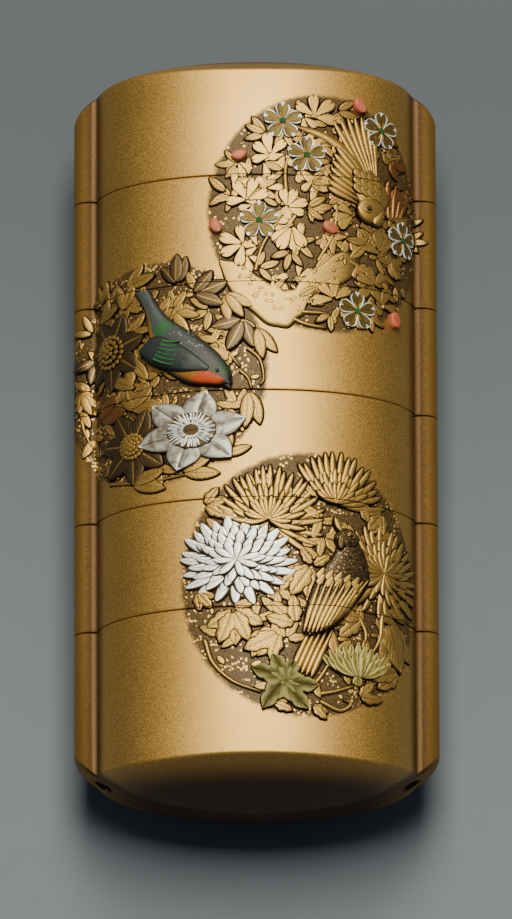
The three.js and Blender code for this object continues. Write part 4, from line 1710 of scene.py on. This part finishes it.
@dataclass
class ChrysanthemumPicture(Picture):
    """Gold chrysanthemums and leaves, with a grey bird that looks up."""

    def relief(self) -> list[Patches]:
        """The raised work, the lowest first."""
        return [self.undergrowth(54, 52, Shape.LOBED, 0.26, 2.9, VEINED),
                self.scattered(36, 51), *self.stems(), *self.leaves(),
                *rosette(16.5, -21, 6.4, 3, 26, 0, 360, half=0.064, height=0.26, shrink=0.68),
                *rosette(10, -12.5, 6.8, 3, 15, -15, 150, half=0.062, height=0.26, shrink=0.66),
                *rosette(1.5, -15, 7.2, 3, 22, -50, 190, half=0.06, height=0.26, shrink=0.66),
                *self.bird()]

    def stems(self) -> list[Patches]:
        """Stems and twigs, each a smooth line through a few places."""
        lines = [[(7.5, -36.5), (8.5, -35), (9, -34)], [(8, -38), (10, -37.5), (12.5, -36.5)],
                 [(8, -39), (10.5, -40), (12, -39), (11, -38.5)],
                 [(13, -27), (14, -29), (14, -30.5)],
                 [(-6.5, -31), (-5.5, -34), (-3, -36.5), (0.5, -38)],
                 [(-3.5, -27), (-3, -29), (-2.5, -30.5)],
                 [(16.5, -26.5), (16, -30), (14, -33)]]
        return [strand(line, 0.28, 0.3) for line in lines]

    def leaves(self) -> list[Patches]:
        """Leaves as hands of broad lobes."""
        hands = [
            Spray(7, -21, -125, 3, 50, 4.2), Spray(7, -21, 75, 2, 90, 2.6),
            Spray(5, -29, 130, 3, 65, 3.6), Spray(-3, -27, -85, 5, 110, 4.2),
            Spray(-6.5, -13, 15, 3, 90, 2.9), Spray(3, -30, -145, 4, 60, 4.4),
            Spray(17.5, -27, -75, 3, 40, 5.6), Spray(19, -33.5, -150, 2, 25, 4.6),
            Spray(13, -38, 20, 2, 35, 3), Spray(7, -39.5, -40, 2, 25, 2.4),
            Spray(2, -39.5, 5, 2, 35, 2.8), Spray(16.5, -13, -108, 3, 40, 3),
            Spray(-7.5, -24.5, -55, 3, 60, 2.6), Spray(13.5, -27.5, -160, 2, 40, 4)]
        return [fan(hands, Shape.LOBED, 0.3, 61, height=0.3, rib=0.2, tone=VEINED, rows=20,
                    columns=11)]

    def bird(self) -> list[Patches]:
        """The grey bird, head up: tail, body, wing, throat, bill and eye."""
        tail = Blades([(9.5 - 0.6 * k, -29.5 + 0.2 * k) for k in range(5)], -113, 7.0, 0.42,
                      Shape.FINGER, height=0.3, base=0.2, rim=0.4)
        body = between(
            [(6, -30.5), (6, -27), (7.5, -22.5), (9.4, -19.8), (10, -18.3), (10.6, -17)],
            [(7, -30.5), (11, -27.5), (14.3, -23), (14.2, -20), (13.4, -18.2), (12, -17)],
            1.0, 70, 23, GREY_FEATHER, base=0.15)
        step = np.arange(9)
        wing = Blades(np.stack([14 - 0.75 * step, -22.5 - 0.35 * step + 0.04 * step ** 2], -1),
                      -124 + 2.2 * step, 7.2 + 0.06 * step, 0.36, Shape.FINGER, height=0.2,
                      base=0.95 + 0.2 * np.sin(math.pi * step / 8), rise=-0.25, rim=0.4,
                      flange=0.13)
        coverts = Blades([(8.3 + 1.1 * (k % 5), -21.6 - 0.2 * (k % 5) - 0.9 * (k // 5))
                          for k in range(10)], -118, 1.5, 0.42, Shape.ROUNDED, height=0.14,
                         base=1.08, rise=-0.1, flange=0.1)
        head = Blades([(9.9, -17.3)], 0, 3.0, 1.5, Shape.OVAL, height=1.1, base=0.3, rim=0.3,
                      tone=GREY_FEATHER, rows=20, columns=15)
        cheek = Blades([(10.6, -16.8)], -95, 2.0, 0.4, Shape.OVAL, height=0.2, base=1.15,
                       tone=PEWTER)
        bill = Blades([(10.6, -16.4)], 116, 2.0, 0.4, Shape.POINTED, height=0.5, base=0.6)
        ring = Blades([(11.3, -16.9)], 0, 0.9, 0.45, Shape.OVAL, height=0.15, base=1.25, flange=0.1)
        eye = Blades([(11.55, -16.9)], 0, 0.4, 0.2, Shape.OVAL, height=0.15, base=1.4, tone=PEWTER,
                     flange=0.1)
        return laid(tail, body, wing, coverts, head, cheek, bill, ring, eye)


@dataclass
class BackPicture(Picture):
    """A plainer roundel for the back: leaves and petals round a gold flower."""

    def relief(self) -> list[Patches]:
        """The raised work, the lowest first."""
        u, y, reach = self.field.u, self.field.y, self.field.half_wide
        turn = np.arange(8) * 45 + 20
        leaves = Blades(
            np.stack([u + 0.45 * reach * np.cos(np.radians(turn)),
                      y + 0.45 * reach * np.sin(np.radians(turn))], -1),
            turn, 0.52 * reach, 0.14 * reach, Shape.POINTED, height=0.28, tone=VEINED).patches()
        return [leaves, *rosette(u, y, 0.5 * reach, 2, 12, 0, 360, tone=FEATHER),
                beads(u, y, 0.12 * reach, 0.2, 2, 0.3)]


# ---- inlays ----
@dataclass
class Inlays:
    """Shell, coral and stained pieces, each in the place of its solid."""

    blossom_radius: float = 2.6
    clematis_radius: float = 5.2
    clematis_wide: float = 1.3
    chrysanthemum_radius: float = 6.0
    chrysanthemum_wide: float = 1.25
    coral: tuple[float, float] = (1.0, 0.7)

    def piece(self, name: str, patches: list[Patches], material: Material, slot: str,
              *nodes: str) -> None:
        """Joins patches into one uncut piece, which may stand for a solid."""
        parts = MeshParts()
        for patch in patches:
            patch.into(parts)
        finished(parts.build(name), material, slot, *nodes)

    def blossoms(self, material: Material, heart: Material) -> None:
        """Five cupped, notched petals and a ring of gold stamens.

        Args:
            material: The petals' finish.
            heart: The finish of the beads in the middle.
        """
        for number in range(1, 7):
            u, y = place_of(f"blossom_{number}")
            turn = 90 + 72 * np.arange(5)
            petals = Blades(np.tile([u, y], (5, 1)), turn, self.blossom_radius,
                            0.39 * self.blossom_radius, Shape.NOTCHED, height=0.42, base=0.12,
                            rim=1.0, cup=0.4, rows=18, columns=17, flange=0.1).patches()
            stamens = Blades(np.tile([u, y], (10, 1)), turn[0] + 36 * np.arange(10) + 18, 1.15,
                             0.07, Shape.STEM, height=0.12, base=0.42, tone=(0, 1, 0), rows=5,
                             columns=3, flange=0.02).patches()
            self.piece(f"shell_blossom_{number}", [petals, stamens], material, "shell",
                       f"blossom_{number}")
            self.piece(f"blossom_heart_{number}", [beads(u, y, 0.28, 0.16, 1, 0.5)], heart,
                       "stained_green")

    def coral_buds(self, material: Material) -> None:
        """Smooth ovals."""
        for number, turn in enumerate((15, -60, -30, -60, -75), 1):
            u, y = place_of(f"coral_bud_{number}")
            long, short = self.coral
            way = np.array([math.cos(math.radians(turn)), math.sin(math.radians(turn))])
            bud = Blades([np.array([u, y]) - long * way], turn, 2 * long, short, Shape.OVAL,
                         height=0.8, base=0.15, rows=20, columns=15, flange=0.04).patches()
            self.piece(f"coral_{number}", [bud], material, "coral", f"coral_bud_{number}")

    def clematis(self, material: Material, filament: Material,
                 brown: Material) -> None:
        """Six broad pointed petals about a brush of fine stamens.

        Args:
            material: The petals' finish.
            filament: The stamens' finish.
            brown: The finish of the disc under them.
        """
        u, y = place_of("clematis")
        radius, wide = self.clematis_radius, self.clematis_wide
        petals = Blades(np.tile([u, y], (6, 1)), 15 + 60 * np.arange(6), 1.04 * radius,
                        0.34 * radius, Shape.WAISTED, height=0.6, base=0.15, rib=0.25, rise=0.25,
                        rows=28, columns=17, flange=0.06).patches()
        self.piece("shell_clematis", [widened(petals, u, wide)], material, "shell", "clematis")
        disc = Blades([(u - 2.35, y)], 0, 4.7, 2.35, Shape.OVAL, height=0.3, base=0.7, rim=0.6,
                      rows=20, columns=17).patches()
        self.piece("clematis_disc", [widened(disc, u, wide)], brown, "shell")
        random = np.random.default_rng(71)
        rings = []
        for count, inner, long in ((58, 1.3, 1.05), (30, 0.75, 0.8)):
            turn = np.arange(count) * 360 / count + random.uniform(-2, 2, count)
            angle = np.radians(turn)
            start = np.stack([u + inner * np.cos(angle), y + inner * np.sin(angle)], -1)
            ring = Blades(start, turn, long * random.uniform(0.85, 1.1, count), 0.075, Shape.STEM,
                          height=0.16, base=0.98, bend=random.uniform(-0.5, 0.5, count), rows=6,
                          columns=3, flange=0.02).patches()
            rings.append(widened(ring, u, wide))
        self.piece("clematis_stamens", rings, filament, "shell")

    def chrysanthemum(self, material: Material) -> None:
        """Five rows of slender petals, each row shorter and higher."""
        u, y = place_of("chrysanthemum")
        rows = rosette(u, y, self.chrysanthemum_radius, 5, 24, 0, 360, half=0.132, height=0.34,
                       step=0.17, shrink=0.8, rows=16, columns=11, flange=0.1)
        rows = [widened(row, u, self.chrysanthemum_wide) for row in rows]
        self.piece("shell_chrysanthemum", rows, material, "shell", "chrysanthemum")

    def green_leaf(self, material: Material) -> None:
        """A hand of six broad lobes."""
        u, y = place_of("green_leaf")
        lobes = Blades(np.tile([u, y], (6, 1)), [150, 105, 60, -15, -60, -135],
                       [4.5, 3.8, 3.0, 4.2, 4.7, 4.7], 1.5, Shape.LOBED, height=0.5, base=0.15,
                       bend=0.3, rib=0.3, rows=30, columns=17, flange=0.12, tone=VEINED).patches()
        self.piece("green_leaf_inlay", [lobes], material, "stained_green", "green_leaf")

    def green_chrysanthemum(self, material: Material) -> None:
        """A half-open flower: three fans of petals out to an ellipse, and a cup of short ones.

        Args:
            material: Its finish.
        """
        u, y = place_of("green_chrysanthemum")
        base = np.array([u - 0.5, y - 2.0])
        fans = []
        for count, share, lift in ((11, 1.0, 0.12), (8, 0.84, 0.28), (6, 0.66, 0.42)):
            turn = np.linspace(15, 165, count)
            angle = np.radians(turn)
            reach = share / np.hypot(np.cos(angle) / 5.6, np.sin(angle) / 4.4)
            fans.append(Blades(base + np.stack([0.9 * np.cos(angle), 0 * angle], -1), turn,
                               reach - 0.9 * np.abs(np.cos(angle)), 0.55, Shape.FINGER, height=0.3,
                               base=lift + 0.07 * (np.arange(count) % 2), bend=0.7 * np.cos(angle),
                               rim=0.5, flange=0.1, rows=16, columns=11).patches())
        cup = Blades(np.tile(base, (3, 1)), [-125, -105, -85], 1.3, 0.4, Shape.POINTED, height=0.4,
                     base=0.15, flange=0.05).patches()
        self.piece("green_chrysanthemum_inlay", [*fans, cup], material, "stained_green",
                   "green_chrysanthemum")

    def kingfisher(self, groups: Groups, body_finish: Material,
                   wing_finish: Material, bar_finish: Material) -> None:
        """A rounded body between belly and back, a wing with bars, a bill and an eye.

        Args:
            groups: The shared node groups.
            body_finish: The body's finish.
            wing_finish: The wing's.
            bar_finish: The finish of the wing's bars.
        """
        body = between(
            [(-15.5, 16.5), (-14, 13.5), (-13.5, 10), (-13, 7.5), (-11.5, 5.5), (-8.5, 3.5),
             (-5.5, 3), (-3.5, 2.8)],
            [(-13.5, 16.5), (-12.5, 14.5), (-11, 12.5), (-9, 11), (-6.5, 9), (-4.5, 7),
             (-3.2, 5), (-3, 3.2)],
            1.25, 90, 31, swell=0.55, base=0.15)
        self.piece("kingfisher_body", [body], body_finish, "stained_blue", "kingfisher")
        wing = between([(-14.5, 8), (-12.5, 6.3), (-9.5, 5), (-6, 4.7)],
                       [(-14.5, 8.5), (-12.3, 10), (-9, 8.3), (-5.7, 5.3)], 0.55, 40, 17, base=1.15)
        self.piece("kingfisher_wing", [wing], wing_finish, "stained_blue")
        step = np.arange(6)
        bars = Blades(np.stack([-12.6 + 0.25 * step, 6.9 + 0.45 * step], -1), -38 + 3.0 * step,
                      2.8 - 0.15 * step, 0.13, Shape.STEM, height=0.16, base=1.55, bend=0.5,
                      rows=12, columns=5, flange=0.03)
        self.piece("kingfisher_wing_bars", [bars.patches()], bar_finish, "stained_green")
        bill = Blades([(-4.4, 4.0)], -52, 2.0, 0.36, Shape.POINTED, height=0.4, base=0.5)
        eye = Blades([(-4.9, 4.7)], 0, 0.4, 0.2, Shape.OVAL, height=0.2, base=1.3, flange=0.05)
        black = Plumage(*[Plumage().dark] * 9).material(groups)
        self.piece("kingfisher_bill_and_eye", laid(bill, eye), black, "stained_blue")


# ---- the studio ----
@dataclass
class Studio:
    """The floor, the lights and the camera."""

    target: tuple[float, float, float] = (0.0, -2.2, 11.2)
    elevation: float = 70.0
    roll: float = -0.2
    distance: float = 2500.0
    view_height: float = 116.4
    sensor: float = 36.0
    floor_half: float = 3.0
    floor_z: float = -5e-5

    def floor(self) -> None:
        """A wide pale plane just under the box, with a painted falloff of light that darkens it
        towards the lid.
        """
        mesh = bpy.data.meshes.new("studio_floor")
        corners = [(x * self.floor_half, y * self.floor_half, self.floor_z)
                   for x, y in ((-1, -1), (1, -1), (1, 1), (-1, 1))]
        mesh.from_pydata(corners, [], [(0, 1, 2, 3)])
        plane = bpy.data.objects.new("studio_floor", mesh)
        bpy.context.scene.collection.objects.link(plane)
        material, w, shader = new_finish("pale_paper", Roughness=0.9)
        where = w.where()
        grain = w.node("TexNoise", {"Vector": where, "Scale": 300.0})
        across = w.node("SeparateXYZ", {"Vector": where}).outputs["Y"]
        # Painted falloff of light: the paper's colour darkens towards +Y, the lid's side.
        paper_painted_falloff = w.mix(w.smooth(across, -0.065, 0.06), (0.150, 0.180, 0.258), (0.073, 0.090, 0.134))
        speck = w.times(grain.outputs["Fac"], 0.12)
        w.feed(shader, "Base Color", w.mix(speck, paper_painted_falloff, (0.08, 0.09, 0.11)))
        mesh.materials.append(material)

    def lamp(self, name: str, place: tuple[float, float, float], size: tuple[float, float],
             power: float, colour: Colour = (1.0, 1.0, 1.0)) -> None:
        """A soft rectangular lamp that faces the box.

        Args:
            name: The lamp's name.
            place: Where it is, in metres.
            size: Its width and height, in metres.
            power: Its power in watts.
            colour: Its colour.
        """
        data = bpy.data.lights.new(name, "AREA")
        data.shape = "RECTANGLE"
        data.size, data.size_y = size
        data.energy = power
        data.color = colour
        lamp = bpy.data.objects.new(name, data)
        lamp.location = place
        lamp.rotation_euler = (-Vector(place)).to_track_quat("-Z", "Y").to_euler()
        bpy.context.scene.collection.objects.link(lamp)

    def lights(self) -> None:
        """One large lamp that the flat of the box mirrors, and a dim room."""
        self.lamp("overhead_lamp", (0.02, 0.27, 0.75), (0.30, 0.62), 12.0, (1.0, 0.91, 0.64))
        world = bpy.data.worlds.new("room")
        world.use_nodes = True
        world.node_tree.nodes["Background"].inputs["Color"].default_value = (0.9, 0.95, 1.0, 1.0)
        world.node_tree.nodes["Background"].inputs["Strength"].default_value = 0.1
        bpy.context.scene.world = world

    def camera(self) -> None:
        """A long lens that looks down the given elevation at the target."""
        data = bpy.data.cameras.new("camera")
        data.sensor_width = self.sensor
        data.lens = self.sensor * self.distance / self.view_height
        data.clip_end = 20.0
        camera = bpy.data.objects.new("camera", data)
        angle = math.radians(self.elevation)
        back = Vector((0.0, -math.cos(angle), math.sin(angle)))
        turn = (-back).to_track_quat("-Z", "Y").to_matrix().to_4x4()
        place = (Vector(self.target) + self.distance * back) * MM
        camera.matrix_world = (Matrix.Translation(place) @ turn
                               @ Matrix.Rotation(math.radians(self.roll), 4, "Z"))
        bpy.context.scene.collection.objects.link(camera)
        bpy.context.scene.camera = camera


def main() -> None:
    """Builds the box, its pictures and inlays, and the studio."""
    logging.basicConfig(level=logging.INFO, format="%(name)s: %(message)s")
    studio = Studio()
    studio.camera()
    studio.lights()
    studio.floor()
    groups = Groups()
    back_fields = [Roundel(side * (SECTION.back_u - 16.5), y, 7.0, 7.0, 0.2)
                   for side, y in ((1, 20.0), (-1, -18.0))]
    fields = [CHERRY_FIELD, CLEMATIS_FIELD, CHRYSANTHEMUM_FIELD, *back_fields]
    gold = GoldLacquer().material(groups, fields)
    cases = [StackedShell(f"case_{number}", Role.MIDDLE) for number in range(1, 5)]
    shells = [StackedShell("lid", Role.LID), *cases, StackedShell("case_5", Role.BOTTOM)]
    for shell in shells:
        finished(shell.mesh(), gold, "gold_lacquer", shell.name)
    relief = ReliefLacquer().material(groups)
    CherryPicture("cherry", CHERRY_FIELD, (3.0, 21.0, 2.6)).build(shells, relief)
    ClematisPicture("clematis", CLEMATIS_FIELD).build(shells, relief)
    ChrysanthemumPicture("chrysanthemum", CHRYSANTHEMUM_FIELD).build(shells, relief)
    for number, place in enumerate(back_fields, 1):
        BackPicture(f"back_{number}", place).build(shells, relief)
    inlays = Inlays()
    heart = StainedGreen(green=(0.02, 0.10, 0.035), pale=(0.05, 0.18, 0.07))
    inlays.blossoms(Shell(inside=1.5, rim_from=0.82, shade_from=1.0,
                          tinge=(0.10, 0.068, 0.018)).material("blossom_shell", groups),
                    heart.material("blossom_heart", groups))
    inlays.coral_buds(Coral().material())
    filament = Shell(inside=0.0, shade_from=1.0).material("shell_filament", groups)
    brown = (0.08, 0.05, 0.022)
    disc = Shell(brown, brown, brown, inside=0.0, shade_from=1.0).material("shell_disc", groups)
    inlays.clematis(Shell().material("shell", groups), filament, disc)
    crested = Shell(inside=0.0, shade_from=0.5, between=(0.055, 0.034, 0.018))
    inlays.chrysanthemum(crested.material("shell_crested", groups))
    green = StainedGreen().material("stained_green", groups)
    inlays.green_leaf(green)
    olive = StainedGreen(green=(0.20, 0.155, 0.035), pale=(0.62, 0.53, 0.22))
    inlays.green_chrysanthemum(olive.material("stained_olive", groups))
    navy, slate = (0.018, 0.026, 0.034), (0.042, 0.052, 0.064)
    wing = Plumage(navy, navy, navy, slate, slate, navy, slate, slate)
    bars = StainedGreen(green=(0.015, 0.13, 0.04), pale=(0.04, 0.21, 0.07))
    inlays.kingfisher(groups, Plumage().material(groups), wing.material(groups),
                      bars.material("wing_bars", groups))


if __name__ == "__main__":
    main()
